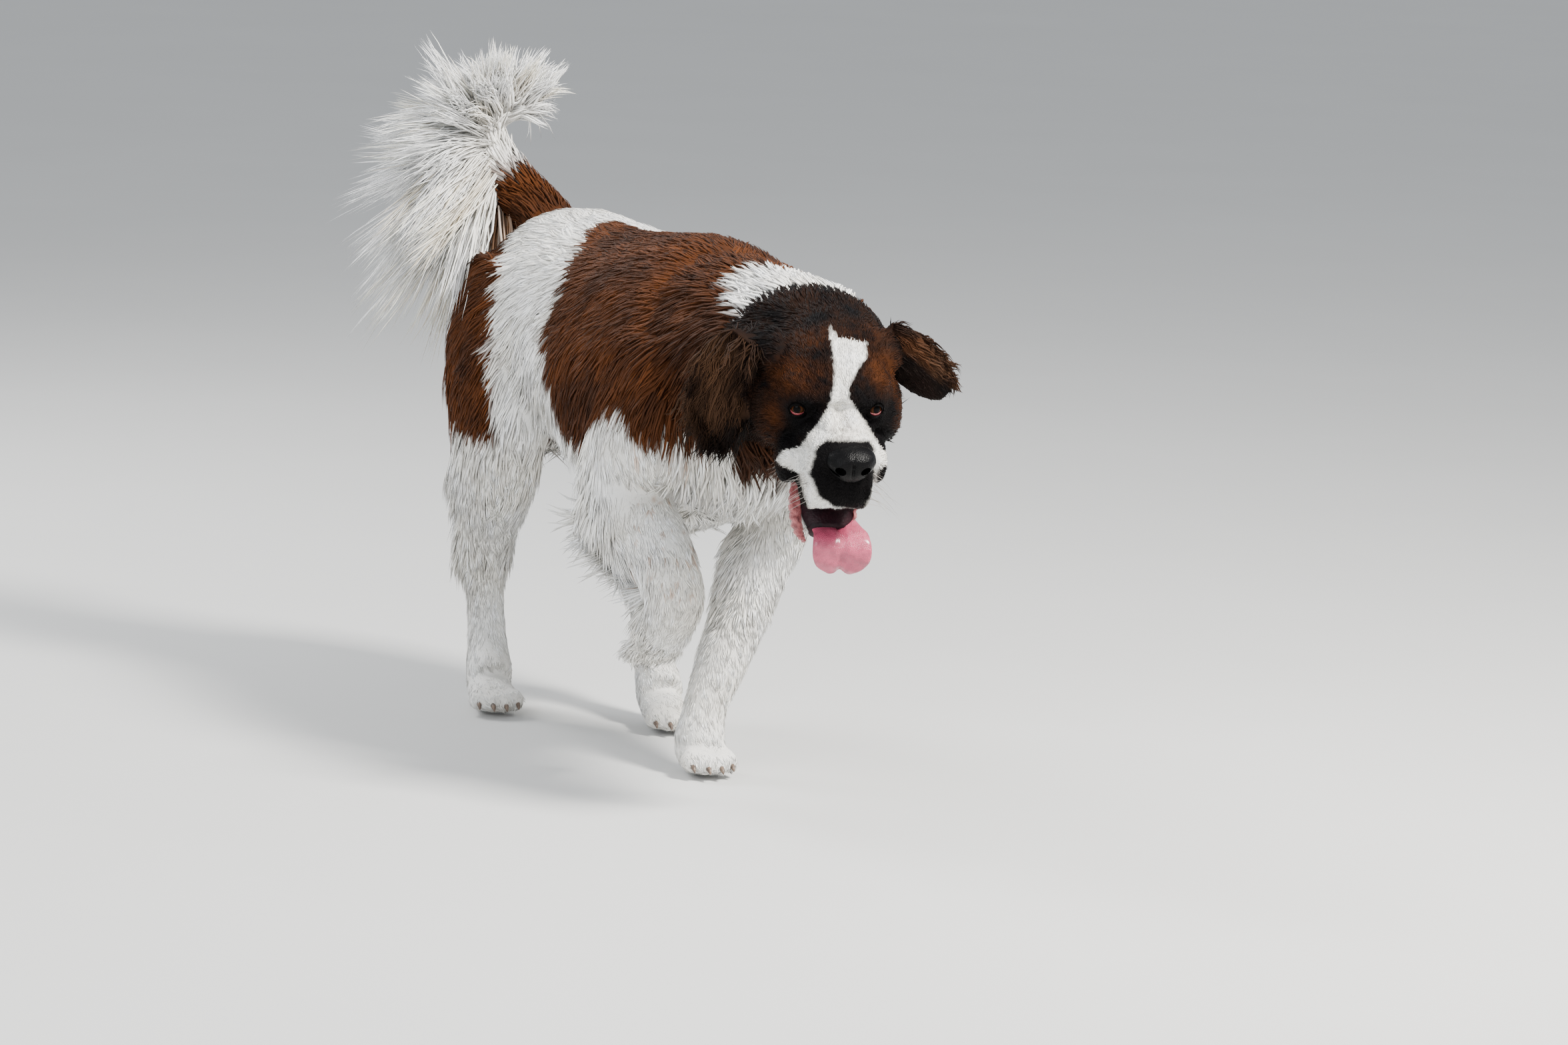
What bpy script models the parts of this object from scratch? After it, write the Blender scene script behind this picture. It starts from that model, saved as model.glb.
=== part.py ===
"""A life-size Saint Bernard in mid-stride, head low and turned, mouth open, tail up.

Metres, +Z up. The dog faces -Y, and +X is its left. Places are written as (left, forward, up)
and turned into X, Y, Z by place(). The finished dog is set with the middle of its box over the
origin and its soles on Z = 0.
"""

import math
import random

import bmesh
import bpy
from mathutils import Matrix, Vector
from mathutils.bvhtree import BVHTree

# Driving dimensions
WITHERS_HEIGHT = 0.80
DRAWN_HEIGHT = 0.80
SCALE = WITHERS_HEIGHT / DRAWN_HEIGHT
GAP = 0.0003

# How deep the coat lies over the flesh
BODY_COAT = 0.026
NECK_COAT = 0.036
LEG_COAT = 0.010
FACE_COAT = 0.006
SKULL_COAT = 0.012

# Where the head sits and how it is turned
HEAD_PLACE = (-0.010, 0.700, 0.588)
HEAD_TURN_DEG = 14.0
HEAD_DROP_DEG = 20.0
HEAD_TILT_DEG = 0.5

BODY_VOXEL = 0.010
HEAD_VOXEL = 0.0055
BODY_TRIANGLES = 2450
HEAD_TRIANGLES = 1250
LOFT_SIDES = 20

SIDEWAYS = Vector((1, 0, 0))
UPWARDS = Vector((0, 0, 1))

# The trunk: forward, middle height, half width, half height
TRUNK = [
    (-0.430, 0.604, 0.045, 0.066),
    (-0.400, 0.590, 0.095, 0.116),
    (-0.330, 0.581, 0.135, 0.154),
    (-0.240, 0.581, 0.148, 0.165),
    (-0.120, 0.587, 0.138, 0.155),
    (0.000, 0.574, 0.147, 0.168),
    (0.120, 0.565, 0.160, 0.186),
    (0.220, 0.563, 0.163, 0.194),
    (0.300, 0.563, 0.156, 0.181),
    (0.380, 0.556, 0.135, 0.141),
    (0.440, 0.545, 0.095, 0.090),
    (0.470, 0.540, 0.050, 0.048),
]

# The neck: left, forward, up, half width, half depth
NECK = [
    (0.000, 0.240, 0.608, 0.120, 0.128),
    (0.002, 0.360, 0.611, 0.120, 0.122),
    (0.012, 0.460, 0.617, 0.112, 0.108),
    (0.022, 0.550, 0.628, 0.100, 0.094),
    (0.024, 0.610, 0.630, 0.085, 0.080),
]

# Each leg: left, forward, up, half width, half depth, from the body down to the ankle
HIND_RIGHT = [
    (-0.070, -0.270, 0.660, 0.080, 0.120),
    (-0.105, -0.275, 0.560, 0.078, 0.130),
    (-0.120, -0.262, 0.460, 0.062, 0.112),
    (-0.122, -0.275, 0.370, 0.048, 0.080),
    (-0.116, -0.315, 0.285, 0.036, 0.052),
    (-0.112, -0.348, 0.215, 0.027, 0.038),
    (-0.110, -0.340, 0.150, 0.023, 0.029),
    (-0.113, -0.320, 0.085, 0.026, 0.031),
    (-0.120, -0.290, 0.045, 0.032, 0.042),
]
HIND_LEFT = [
    (0.070, -0.260, 0.660, 0.080, 0.120),
    (0.105, -0.235, 0.560, 0.078, 0.130),
    (0.120, -0.180, 0.460, 0.062, 0.112),
    (0.114, -0.168, 0.370, 0.048, 0.080),
    (0.102, -0.185, 0.285, 0.036, 0.052),
    (0.096, -0.200, 0.215, 0.027, 0.038),
    (0.090, -0.170, 0.150, 0.023, 0.029),
    (0.082, -0.130, 0.085, 0.026, 0.031),
    (0.074, -0.085, 0.045, 0.032, 0.042),
]
FORE_LEFT = [
    (0.085, 0.300, 0.620, 0.075, 0.125),
    (0.118, 0.300, 0.520, 0.066, 0.110),
    (0.128, 0.250, 0.440, 0.055, 0.082),
    (0.118, 0.225, 0.360, 0.047, 0.060),
    (0.078, 0.240, 0.280, 0.042, 0.047),
    (0.042, 0.256, 0.200, 0.034, 0.038),
    (0.016, 0.268, 0.150, 0.033, 0.036),
    (-0.010, 0.276, 0.090, 0.027, 0.030),
    (-0.020, 0.285, 0.045, 0.033, 0.042),
]
FORE_RIGHT = [
    (-0.085, 0.300, 0.620, 0.075, 0.125),
    (-0.122, 0.305, 0.520, 0.066, 0.108),
    (-0.136, 0.275, 0.435, 0.056, 0.078),
    (-0.136, 0.320, 0.375, 0.050, 0.060),
    (-0.136, 0.385, 0.350, 0.043, 0.047),
    (-0.137, 0.435, 0.322, 0.037, 0.040),
    (-0.137, 0.458, 0.285, 0.036, 0.038),
    (-0.134, 0.432, 0.255, 0.034, 0.032),
    (-0.131, 0.405, 0.232, 0.036, 0.034),
]

# Each paw: where its heel and toes are, and which way is up through it
PAW_HALF_WIDTH = 0.038
PAW_HALF_HEIGHT = 0.030
TOE_RADIUS = 0.0150
TOES = 4
PAWS = {
    "hind_right": ((-0.120, -0.300, 0.030), (-0.136, -0.220, 0.024)),
    "hind_left": ((0.074, -0.090, 0.030), (0.062, -0.010, 0.024)),
    "fore_left": ((-0.018, 0.262, 0.030), (-0.024, 0.330, 0.024)),
    "fore_right": ((-0.131, 0.415, 0.235), (-0.126, 0.355, 0.198)),
}

# The joints of each leg, from its root to below the sole: left, forward, up
LEG_JOINTS = {
    "hind_right": [
        (-0.122, -0.285, 0.640),
        (-0.122, -0.255, 0.430),
        (-0.112, -0.345, 0.205),
        (-0.116, -0.300, -0.050),
    ],
    "hind_left": [
        (0.122, -0.260, 0.640),
        (0.120, -0.180, 0.430),
        (0.096, -0.198, 0.205),
        (0.060, -0.060, -0.050),
    ],
    "fore_left": [
        (0.136, 0.310, 0.560),
        (0.130, 0.225, 0.400),
        (0.018, 0.268, 0.152),
        (-0.030, 0.300, -0.050),
    ],
    "fore_right": [
        (-0.140, 0.310, 0.560),
        (-0.138, 0.285, 0.410),
        (-0.137, 0.458, 0.300),
        (-0.120, 0.330, 0.150),
    ],
}
LEG_HALF_WIDTH = 0.088
LEG_HALF_DEPTHS = {"hind": (0.170, 0.160, 0.130), "fore": (0.118, 0.130, 0.110)}
LEG_OVERRUN = 0.080

# The tail's bone: left, forward, up, half width
TAIL = [
    (0.000, -0.350, 0.698, 0.045),
    (-0.008, -0.410, 0.728, 0.036),
    (-0.025, -0.465, 0.768, 0.028),
    (-0.045, -0.505, 0.810, 0.023),
    (-0.055, -0.514, 0.845, 0.019),
    (-0.046, -0.512, 0.872, 0.016),
    (-0.024, -0.505, 0.888, 0.013),
    (0.004, -0.496, 0.888, 0.010),
]
TAIL_COAT = 0.022

# Coat locks, three-sided with a ridge outwards, as shares of a lock's length, width and
# thickness from root to tip
LONG_STEPS = ((0.0, 0.70, 1.00), (0.40, 1.00, 0.90), (0.74, 0.68, 0.65), (1.0, 0.02, 0.05))
SHORT_STEPS = ((0.0, 0.80, 1.00), (0.55, 1.00, 0.85), (1.0, 0.02, 0.05))
LONG_FROM = 0.100
LOCK_SIDES = 3
LOCK_SINK = 0.006
LOCK_BACK = 0.014
LOCK_CURL = 0.06
LOCK_SEED = 7
LOCK_VARIATION = 0.16

# Fields of locks: a path inside the body, how many rows along it and columns round it, the
# first and last angle round it from the reference side, and the way, size and lift of the hair
FIELDS = {
    "mantle": {
        "path": ((0, -0.34, 0.60), (0, 0.19, 0.58)), "reference": (0, 0, 1),
        "rows": 5, "columns": 5, "angles": (-116, 116), "lie": (0, -1.0, -0.55),
        "length": 0.145, "width": 0.085, "thickness": 0.012, "lift": 0.24, "sag": 0.02,
    },
    "belly": {
        "path": ((0, -0.14, 0.56), (0, 0.18, 0.54)), "reference": (0, 0, -1),
        "rows": 5, "columns": 2, "angles": (-30, 30), "lie": (0, -0.7, -0.8),
        "length": 0.075, "width": 0.055, "thickness": 0.010, "lift": 0.55, "sag": 0.10,
    },
    "ruff": {
        "path": ((0, 0.35, 0.63), (0.01, 0.51, 0.64)), "reference": (0, 0, 1),
        "rows": 3, "columns": 7, "angles": (-150, 150), "lie": (0, -0.50, -0.85),
        "length": 0.095, "width": 0.066, "thickness": 0.011, "lift": 0.34, "sag": 0.08,
    },
    "brisket": {
        "path": ((0, 0.27, 0.52), (0, 0.43, 0.60)), "reference": (0, 0, -1),
        "rows": 3, "columns": 3, "angles": (-40, 40), "lie": (0, -0.2, -1.0),
        "length": 0.095, "width": 0.056, "thickness": 0.011, "lift": 0.36, "sag": 0.10,
    },
    "breech_right": {
        "path": ((-0.10, -0.30, 0.66), (-0.115, -0.28, 0.42)), "reference": (0, -1, 0),
        "rows": 4, "columns": 3, "angles": (-66, 34), "lie": (0, -0.5, -1.0),
        "length": 0.115, "width": 0.058, "thickness": 0.011, "lift": 0.36, "sag": 0.15,
    },
    "breech_left": {
        "path": ((0.10, -0.26, 0.66), (0.115, -0.18, 0.42)), "reference": (0, -1, 0),
        "rows": 4, "columns": 3, "angles": (-34, 66), "lie": (0, -0.5, -1.0),
        "length": 0.115, "width": 0.058, "thickness": 0.011, "lift": 0.36, "sag": 0.15,
    },
    "shank_right": {
        "path": ((-0.121, -0.27, 0.37), (-0.113, -0.335, 0.24)), "reference": (0, -1, 0),
        "rows": 3, "columns": 2, "angles": (-28, 28), "lie": (0, -0.45, -1.0),
        "length": 0.090, "width": 0.046, "thickness": 0.010, "lift": 0.36, "sag": 0.15,
    },
    "shank_left": {
        "path": ((0.113, -0.17, 0.37), (0.098, -0.195, 0.24)), "reference": (0, -1, 0),
        "rows": 3, "columns": 2, "angles": (-28, 28), "lie": (0, -0.45, -1.0),
        "length": 0.090, "width": 0.046, "thickness": 0.010, "lift": 0.36, "sag": 0.15,
    },
    "feather_right": {
        "path": ((-0.136, 0.28, 0.46), (-0.137, 0.39, 0.35)), "reference": (-0.3, -0.7, -0.7),
        "rows": 5, "columns": 2, "angles": (-30, 30), "lie": (-0.3, -0.9, -0.6),
        "length": 0.105, "width": 0.046, "thickness": 0.010, "lift": 0.60, "sag": 0.18,
    },
    "feather_left": {
        "path": ((0.128, 0.24, 0.46), (0.042, 0.256, 0.21)), "reference": (0, -1, 0),
        "rows": 5, "columns": 2, "angles": (-30, 30), "lie": (0, -0.9, -0.7),
        "length": 0.090, "width": 0.046, "thickness": 0.010, "lift": 0.45, "sag": 0.18,
    },
    "tail_root": {
        "path": ((0, -0.385, 0.718), (-0.03, -0.465, 0.768)), "reference": (0, -0.5, -0.8),
        "rows": 2, "columns": 4, "angles": (-110, 110), "lie": (0, -0.8, 0.2),
        "length": 0.095, "width": 0.050, "thickness": 0.010, "lift": 0.30, "sag": 0.10,
    },
}

# The plume: rows of locks along the tail's bone, fanned over the outer side of its curl. The
# fan's angle is measured from the dog's right, upwards, at the kink and at the tip
PLUME_ROWS = 10
PLUME_ANGLES = (-76.0, 140.0)
PLUME_SPREAD_DEG = (-38.0, -13.0, 13.0, 38.0)
PLUME_LENGTHS = (0.300, 0.240, 0.190, 0.130, 0.080)
PLUME_WIDTH = 0.066
PLUME_THICKNESS = 0.013
PLUME_START = 0.28

# The head, in its own frame: left, up, forward from the middle of the eyes, and half sizes
SKULL = [
    (-0.215, -0.010, 0.060, 0.060),
    (-0.170, 0.000, 0.082, 0.076),
    (-0.110, 0.004, 0.089, 0.084),
    (-0.050, 0.000, 0.086, 0.080),
    (-0.018, -0.010, 0.078, 0.066),
    (0.004, -0.022, 0.064, 0.050),
]
MUZZLE = [
    (-0.050, -0.048, 0.070, 0.054),
    (0.000, -0.046, 0.060, 0.048),
    (0.045, -0.050, 0.050, 0.046),
    (0.082, -0.054, 0.043, 0.044),
    (0.098, -0.056, 0.033, 0.034),
]
EYE_PLACE = (0.0510, 0.000, 0.003)
EYE_RADIUS = 0.0135
NOSE_PLACE = (0.0, -0.026, 0.098)
NOSE_HALF = (0.032, 0.024, 0.022)
NOSTRIL_PLACE = (0.0155, -0.030, 0.116)
NOSTRIL_HALF = (0.0070, 0.0060, 0.0120)

# Fleshy forms of the face, each an ellipsoid: left, up, forward, and its three half sizes
FACE_FORMS = {
    "cheek": ((0.066, -0.030, -0.062), (0.036, 0.052, 0.062)),
    "brow": ((0.044, 0.032, -0.012), (0.030, 0.016, 0.020)),
    "flew": ((0.031, -0.084, 0.048), (0.021, 0.042, 0.046)),
    "flew_back": ((0.058, -0.080, 0.004), (0.020, 0.036, 0.040)),
}
MOUTH = [
    (-0.040, -0.118, 0.048, 0.020),
    (0.010, -0.124, 0.046, 0.028),
    (0.120, -0.140, 0.044, 0.040),
]
JAW = [
    (-0.120, -0.080, 0.050, 0.034),
    (-0.070, -0.112, 0.048, 0.030),
    (-0.020, -0.143, 0.042, 0.024),
    (0.020, -0.166, 0.036, 0.020),
    (0.040, -0.176, 0.026, 0.015),
]
# The tongue: up, forward, half width, half thickness
TONGUE = [
    (-0.118, -0.040, 0.026, 0.008),
    (-0.132, 0.000, 0.030, 0.008),
    (-0.144, 0.040, 0.033, 0.007),
    (-0.158, 0.060, 0.037, 0.007),
    (-0.186, 0.068, 0.040, 0.006),
    (-0.212, 0.066, 0.037, 0.006),
    (-0.230, 0.062, 0.024, 0.004),
]

# Each ear's flap, in the head's frame: left, up, forward, half width, half thickness
EAR_RIGHT = [
    (-0.076, 0.060, -0.100, 0.040, 0.012),
    (-0.106, 0.050, -0.118, 0.050, 0.013),
    (-0.130, 0.010, -0.125, 0.058, 0.013),
    (-0.134, -0.040, -0.120, 0.056, 0.013),
    (-0.130, -0.082, -0.112, 0.042, 0.012),
    (-0.126, -0.112, -0.105, 0.022, 0.008),
]
EAR_LEFT = [
    (0.076, 0.062, -0.100, 0.040, 0.012),
    (0.104, 0.056, -0.108, 0.050, 0.013),
    (0.128, 0.032, -0.106, 0.054, 0.014),
    (0.148, 0.004, -0.098, 0.048, 0.014),
    (0.159, -0.020, -0.092, 0.034, 0.012),
    (0.166, -0.036, -0.088, 0.018, 0.008),
]

EAR_SIDES = 12
EAR_LOCKS = 8
EAR_LOCK_LENGTH = 0.075
EAR_LOCK_WIDTH = 0.046
EAR_LOCK_THICKNESS = 0.009
EAR_RIGHT_LIE = (-0.25, -0.95, -0.10)
EAR_LEFT_LIE = (0.55, -0.65, 0.05)
EAR_FAN = 0.35

# The collar: how far along the neck it sits, its webbing and the ring at the throat
COLLAR_STATION = 2
COLLAR_ONWARD = 0.10
COLLAR_WIDTH = 0.038
COLLAR_THICKNESS = 0.004
COLLAR_SINK = 0.020
COLLAR_SIDES = 28
COLLAR_GAP = 0.001
PARTING_WIDTH = 0.070
PARTING_DEPTH = 0.120

# Where tail, neck and head are parted: left, forward, up, and the way each cut faces
TAIL_ROOT = (0.000, -0.385, 0.722)
TAIL_CUT_AHEAD = (0.0, -0.93, 0.37)
TAIL_KINK = (-0.030, -0.472, 0.776)
NECK_CUT = (0.000, 0.360, 0.620)
NECK_CUT_AHEAD = (0.0, 0.80, 0.60)
NAPE_CUT = (0.0, 0.075, -0.160)
NAPE_CUT_AHEAD = (0.0, 0.30, 0.954)

# The opening between the lids of each eye
LID_TURN_DEG = 24.0
LID_DROOP_DEG = 14.0
LID_REACH = 0.016
LID_HALVES = (0.0145, 0.0095, 0.0150)

# Each material's colour and roughness; nothing on the dog is metal
MATERIALS = {
    "white_coat": ((0.80, 0.78, 0.74), 0.85),
    "red_coat": ((0.23, 0.065, 0.020), 0.80),
    "dark_coat": ((0.030, 0.018, 0.012), 0.75),
    "nose_leather": ((0.008, 0.008, 0.009), 0.35),
    "tongue_flesh": ((0.62, 0.17, 0.20), 0.35),
    "eye": ((0.06, 0.022, 0.010), 0.10),
    "collar_webbing": ((0.010, 0.010, 0.012), 0.80),
}

# The material of each node that isn't white
COATS = {
    "head": "dark_coat",
    "ear_left": "dark_coat",
    "ear_right": "dark_coat",
    "neck": "red_coat",
    "torso": "red_coat",
    "tail_root": "red_coat",
    "nose_pad": "nose_leather",
    "tongue": "tongue_flesh",
    "eye_left": "eye",
    "eye_right": "eye",
    "collar": "collar_webbing",
}


def place(left, forward, up):
    """A point of the dog in X, Y, Z."""
    return Vector((left, -forward, up)) * SCALE


def head_frame():
    """The matrix that carries the head's own left, up and forward into X, Y, Z."""
    turn = math.radians(HEAD_TURN_DEG)
    drop = math.radians(HEAD_DROP_DEG)
    ahead = place(-math.sin(turn) * math.cos(drop), math.cos(turn) * math.cos(drop), -math.sin(drop))
    ahead.normalize()
    left = place(math.cos(turn), math.sin(turn), 0).normalized()
    left = Matrix.Rotation(math.radians(HEAD_TILT_DEG), 3, ahead) @ left
    above = ahead.cross(left)
    frame = Matrix((left, above, ahead)).transposed().to_4x4()
    frame.translation = place(*HEAD_PLACE)
    return frame


HEAD = head_frame()


def in_head(left, up, forward):
    """A point given in the head's own frame, in X, Y, Z."""
    return HEAD @ (Vector((left, up, forward)) * SCALE)


def new_object(name, mesh, collection):
    """Wraps a mesh in an object of that name."""
    obj = bpy.data.objects.new(name, mesh)
    collection.objects.link(obj)
    return obj


def mesh_from(build, name):
    """Closes a bmesh, points its faces out and returns it as a mesh."""
    bmesh.ops.recalc_face_normals(build, faces=build.faces)
    mesh = bpy.data.meshes.new(name)
    build.to_mesh(mesh)
    build.free()
    return mesh


def ring_matrix(centre, along, across, half_across, half_other):
    """Places a unit circle as one section of a loft."""
    along = along.normalized()
    side = (across - across.dot(along) * along).normalized()
    other = along.cross(side)
    turned = Matrix((side * half_across, other * half_other, along)).transposed().to_4x4()
    turned.translation = centre
    return turned


def loft(name, sections, across, collection, sides=LOFT_SIDES):
    """A closed tube through (centre, half across, half other) sections."""
    build = bmesh.new()
    centres = [section[0] for section in sections]
    rings = []
    for index, (centre, half_across, half_other) in enumerate(sections):
        along = centres[min(index + 1, len(centres) - 1)] - centres[max(index - 1, 0)]
        turned = ring_matrix(centre, along, across, half_across, half_other)
        made = bmesh.ops.create_circle(build, segments=sides, radius=1.0, matrix=turned)
        corners = made["verts"]
        rings.append({edge for corner in corners for edge in corner.link_edges})
    for first, second in zip(rings, rings[1:]):
        bmesh.ops.bridge_loops(build, edges=list(first | second))
    for end in (rings[0], rings[-1]):
        bmesh.ops.edgeloop_fill(build, edges=list(end))
    return new_object(name, mesh_from(build, name), collection)


def ellipsoid(name, centre, halves, turn, collection, rings=10, segments=16):
    """A ball stretched to three half sizes along a frame's axes."""
    build = bmesh.new()
    shape = Matrix.Translation(centre) @ turn.to_3x3().to_4x4() @ Matrix.Diagonal((*halves, 1))
    bmesh.ops.create_uvsphere(build, u_segments=segments, v_segments=rings, radius=1, matrix=shape)
    return new_object(name, mesh_from(build, name), collection)


def box(name, centre, axes, halves, collection):
    """A block with the given axes and half sizes."""
    build = bmesh.new()
    turned = Matrix([axis.normalized() * 2 * half for axis, half in zip(axes, halves)])
    turned = turned.transposed().to_4x4()
    turned.translation = centre
    bmesh.ops.create_cube(build, size=1, matrix=turned)
    return new_object(name, mesh_from(build, name), collection)


def applied(obj):
    """Turns an object's modifiers into its mesh."""
    graph = bpy.context.evaluated_depsgraph_get()
    mesh = bpy.data.meshes.new_from_object(obj.evaluated_get(graph))
    obj.modifiers.clear()
    obj.data = mesh
    return obj


def boolean(obj, other, operation, solver="EXACT"):
    """Cuts, joins or trims one mesh with another."""
    modifier = obj.modifiers.new(operation.lower(), "BOOLEAN")
    modifier.operation = operation
    modifier.solver = solver
    modifier.object = other
    return applied(obj)


def removed(objects):
    """Takes helper objects out of the file."""
    for obj in objects:
        bpy.data.objects.remove(obj)


def copy_of(obj, name, collection):
    """A copy with a mesh of its own."""
    return new_object(name, obj.data.copy(), collection)


def swollen(obj, amount, collection):
    """A copy grown by a small amount along its normals."""
    grown = copy_of(obj, obj.name + "_clearance", collection)
    modifier = grown.modifiers.new("grow", "DISPLACE")
    modifier.strength = amount
    modifier.mid_level = 0.0
    return applied(grown)


def largest_body(obj):
    """Keeps only the largest closed surface of a mesh."""
    build = bmesh.new()
    build.from_mesh(obj.data)
    left = set(build.faces)
    bodies = []
    while left:
        reached = [left.pop()]
        body = set(reached)
        while reached:
            face = reached.pop()
            for edge in face.edges:
                for near in edge.link_faces:
                    if near in left:
                        left.discard(near)
                        body.add(near)
                        reached.append(near)
        bodies.append(body)
    kept = max(bodies, key=len)
    scraps = [face for body in bodies if body is not kept for face in body]
    bmesh.ops.delete(build, geom=scraps, context="FACES")
    build.to_mesh(obj.data)
    build.free()
    return obj


def fused(name, pieces, voxel, triangles, smoothing, collection):
    """Melts overlapping closed pieces into one smooth skin of about that many triangles."""
    bpy.ops.object.select_all(action="DESELECT")
    for piece in pieces:
        piece.select_set(True)
    bpy.context.view_layer.objects.active = pieces[0]
    bpy.ops.object.join()
    whole = pieces[0]
    whole.name = name
    remesh = whole.modifiers.new("melt", "REMESH")
    remesh.mode = "VOXEL"
    remesh.voxel_size = voxel
    smooth = whole.modifiers.new("smooth", "SMOOTH")
    smooth.factor = 0.6
    smooth.iterations = smoothing
    applied(whole)
    faces = sum(len(polygon.vertices) - 2 for polygon in whole.data.polygons)
    thin = whole.modifiers.new("thin_out", "DECIMATE")
    thin.ratio = min(1.0, triangles / faces)
    applied(whole)
    return largest_body(whole)


def flesh_sections(rows, coat):
    """Loft sections from rows of left, forward, up and two half sizes."""
    return [(place(*row[:3]), (row[3] + coat) * SCALE, (row[4] + coat) * SCALE) for row in rows]


def paw_pieces(name, collection):
    """The pad of one paw with its four toes fanned across the front."""
    heel, toes = (place(*point) for point in PAWS[name])
    ahead = (toes - heel).normalized()
    across = (SIDEWAYS - SIDEWAYS.dot(ahead) * ahead).normalized()
    sections = [
        (heel - ahead * 0.012, 0.030, 0.024),
        (heel.lerp(toes, 0.35), PAW_HALF_WIDTH, PAW_HALF_HEIGHT),
        (heel.lerp(toes, 0.80), PAW_HALF_WIDTH, PAW_HALF_HEIGHT * 0.9),
        (toes, PAW_HALF_WIDTH * 0.85, PAW_HALF_HEIGHT * 0.7),
    ]
    pieces = [loft(name + "_pad", sections, across, collection)]
    turn = Matrix((across, ahead, across.cross(ahead))).transposed()
    for toe in range(TOES):
        aside = (toe - (TOES - 1) / 2) * PAW_HALF_WIDTH * 0.52
        reach = 0.012 if toe in (1, 2) else 0.0
        centre = toes + across * aside + ahead * reach
        halves = (TOE_RADIUS, TOE_RADIUS * 1.5, TOE_RADIUS * 1.25)
        pieces.append(ellipsoid(f"{name}_toe_{toe}", centre, halves, turn, collection))
    return pieces


def lock(name, root, outward, heading, sag, length, width, thickness, collection):
    """One flat, tapered lock of hair, bending from its root towards sag."""
    heading = heading.normalized()
    across = heading.cross(outward)
    if across.length < 0.1:
        across = heading.cross(Vector((0.3, 0.5, 0.8)))
    ridge = across.cross(heading)
    if ridge.dot(outward) < 0:
        ridge = -ridge
    sections = []
    for share, wide, thick in LONG_STEPS if length > LONG_FROM * SCALE else SHORT_STEPS:
        centre = root + heading * length * share + sag * length * share * share
        sections.append((centre, thickness * thick, width * 0.58 * wide))
    piece = loft(name, sections, ridge, collection, LOCK_SIDES)
    build = bmesh.new()
    build.from_mesh(piece.data)
    tip = [corner for corner in build.verts if (corner.co - sections[-1][0]).length < width * 0.03]
    bmesh.ops.pointmerge(build, verts=tip, merge_co=sections[-1][0])
    build.to_mesh(piece.data)
    build.free()
    return piece


def surface(obj):
    """A search tree over a mesh, for finding points on its skin."""
    corners = [vertex.co for vertex in obj.data.vertices]
    faces = [polygon.vertices for polygon in obj.data.polygons]
    return BVHTree.FromPolygons(corners, faces)


def field_locks(name, field, tree, draw, collection):
    """One field of locks, rooted where rays from its path leave the skin."""
    start, end = (place(*point) for point in field["path"])
    along = (end - start).normalized()
    reference = place(*field["reference"])
    reference = (reference - reference.dot(along) * along).normalized()
    lie = place(*field["lie"]).normalized()
    first, last = field["angles"]
    locks = []
    for row in range(field["rows"]):
        for column in range(field["columns"]):
            share = (column + (0.5 if row % 2 else 0.0)) / (field["columns"] - 0.5)
            angle = math.radians(first + (last - first) * share + draw.uniform(-3, 3))
            aim = Matrix.Rotation(angle, 3, along) @ reference
            onward = (row + draw.uniform(-0.2, 0.2)) / max(1, field["rows"] - 1)
            centre = start.lerp(end, onward)
            point, normal, _, _ = tree.ray_cast(centre + aim * 0.5 * SCALE, -aim)
            if point is None or (point - centre).length > 0.30 * SCALE:
                continue
            heading = (lie - lie.dot(normal) * normal).normalized()
            aside = heading.cross(normal) * draw.uniform(-LOCK_VARIATION, LOCK_VARIATION)
            heading = (heading + aside + normal * field["lift"]).normalized()
            size = draw.uniform(1 - LOCK_VARIATION, 1 + LOCK_VARIATION) * SCALE
            root = point - normal * LOCK_SINK * SCALE - heading * LOCK_BACK * SCALE
            sag = Vector((0, 0, -field["sag"])) - normal * LOCK_CURL
            locks.append(
                lock(
                    f"{name}_{row}_{column}", root, normal, heading, sag,
                    field["length"] * size, field["width"] * size,
                    field["thickness"] * SCALE, collection,
                )
            )
    return locks


def along_tail(share):
    """A point of the tail's bone and its direction there."""
    spot = share * (len(TAIL) - 1)
    index = min(int(spot), len(TAIL) - 2)
    start, end = place(*TAIL[index][:3]), place(*TAIL[index + 1][:3])
    return start.lerp(end, spot - index), (end - start).normalized()


def plume_locks(draw, collection):
    """The plume's locks, hanging at the kink, standing out behind and curling over at the tip."""
    locks = []
    for row in range(PLUME_ROWS):
        share = row / (PLUME_ROWS - 1)
        root, _ = along_tail(PLUME_START + (1 - PLUME_START) * share)
        spot = share * (len(PLUME_LENGTHS) - 1)
        index = min(int(spot), len(PLUME_LENGTHS) - 2)
        reach = PLUME_LENGTHS[index] + (PLUME_LENGTHS[index + 1] - PLUME_LENGTHS[index]) * (spot - index)
        for column, spread in enumerate(PLUME_SPREAD_DEG):
            turn = PLUME_ANGLES[0] + (PLUME_ANGLES[1] - PLUME_ANGLES[0]) * share
            turn = math.radians(turn + draw.uniform(-14, 14))
            lean = math.radians(spread + draw.uniform(-6, 6))
            heading = Vector((-math.cos(turn) * math.cos(lean), math.sin(lean),
                              math.sin(turn) * math.cos(lean)))
            aside = Vector((math.sin(turn), 0, math.cos(turn)))
            size = draw.uniform(1 - LOCK_VARIATION, 1 + LOCK_VARIATION) * SCALE
            outward = heading.cross(aside)
            locks.append(
                lock(
                    f"plume_{row}_{column}", root, outward, heading, Vector((0, 0, -0.14)),
                    reach * size, PLUME_WIDTH * size, PLUME_THICKNESS * SCALE, collection,
                )
            )
    return locks


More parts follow.
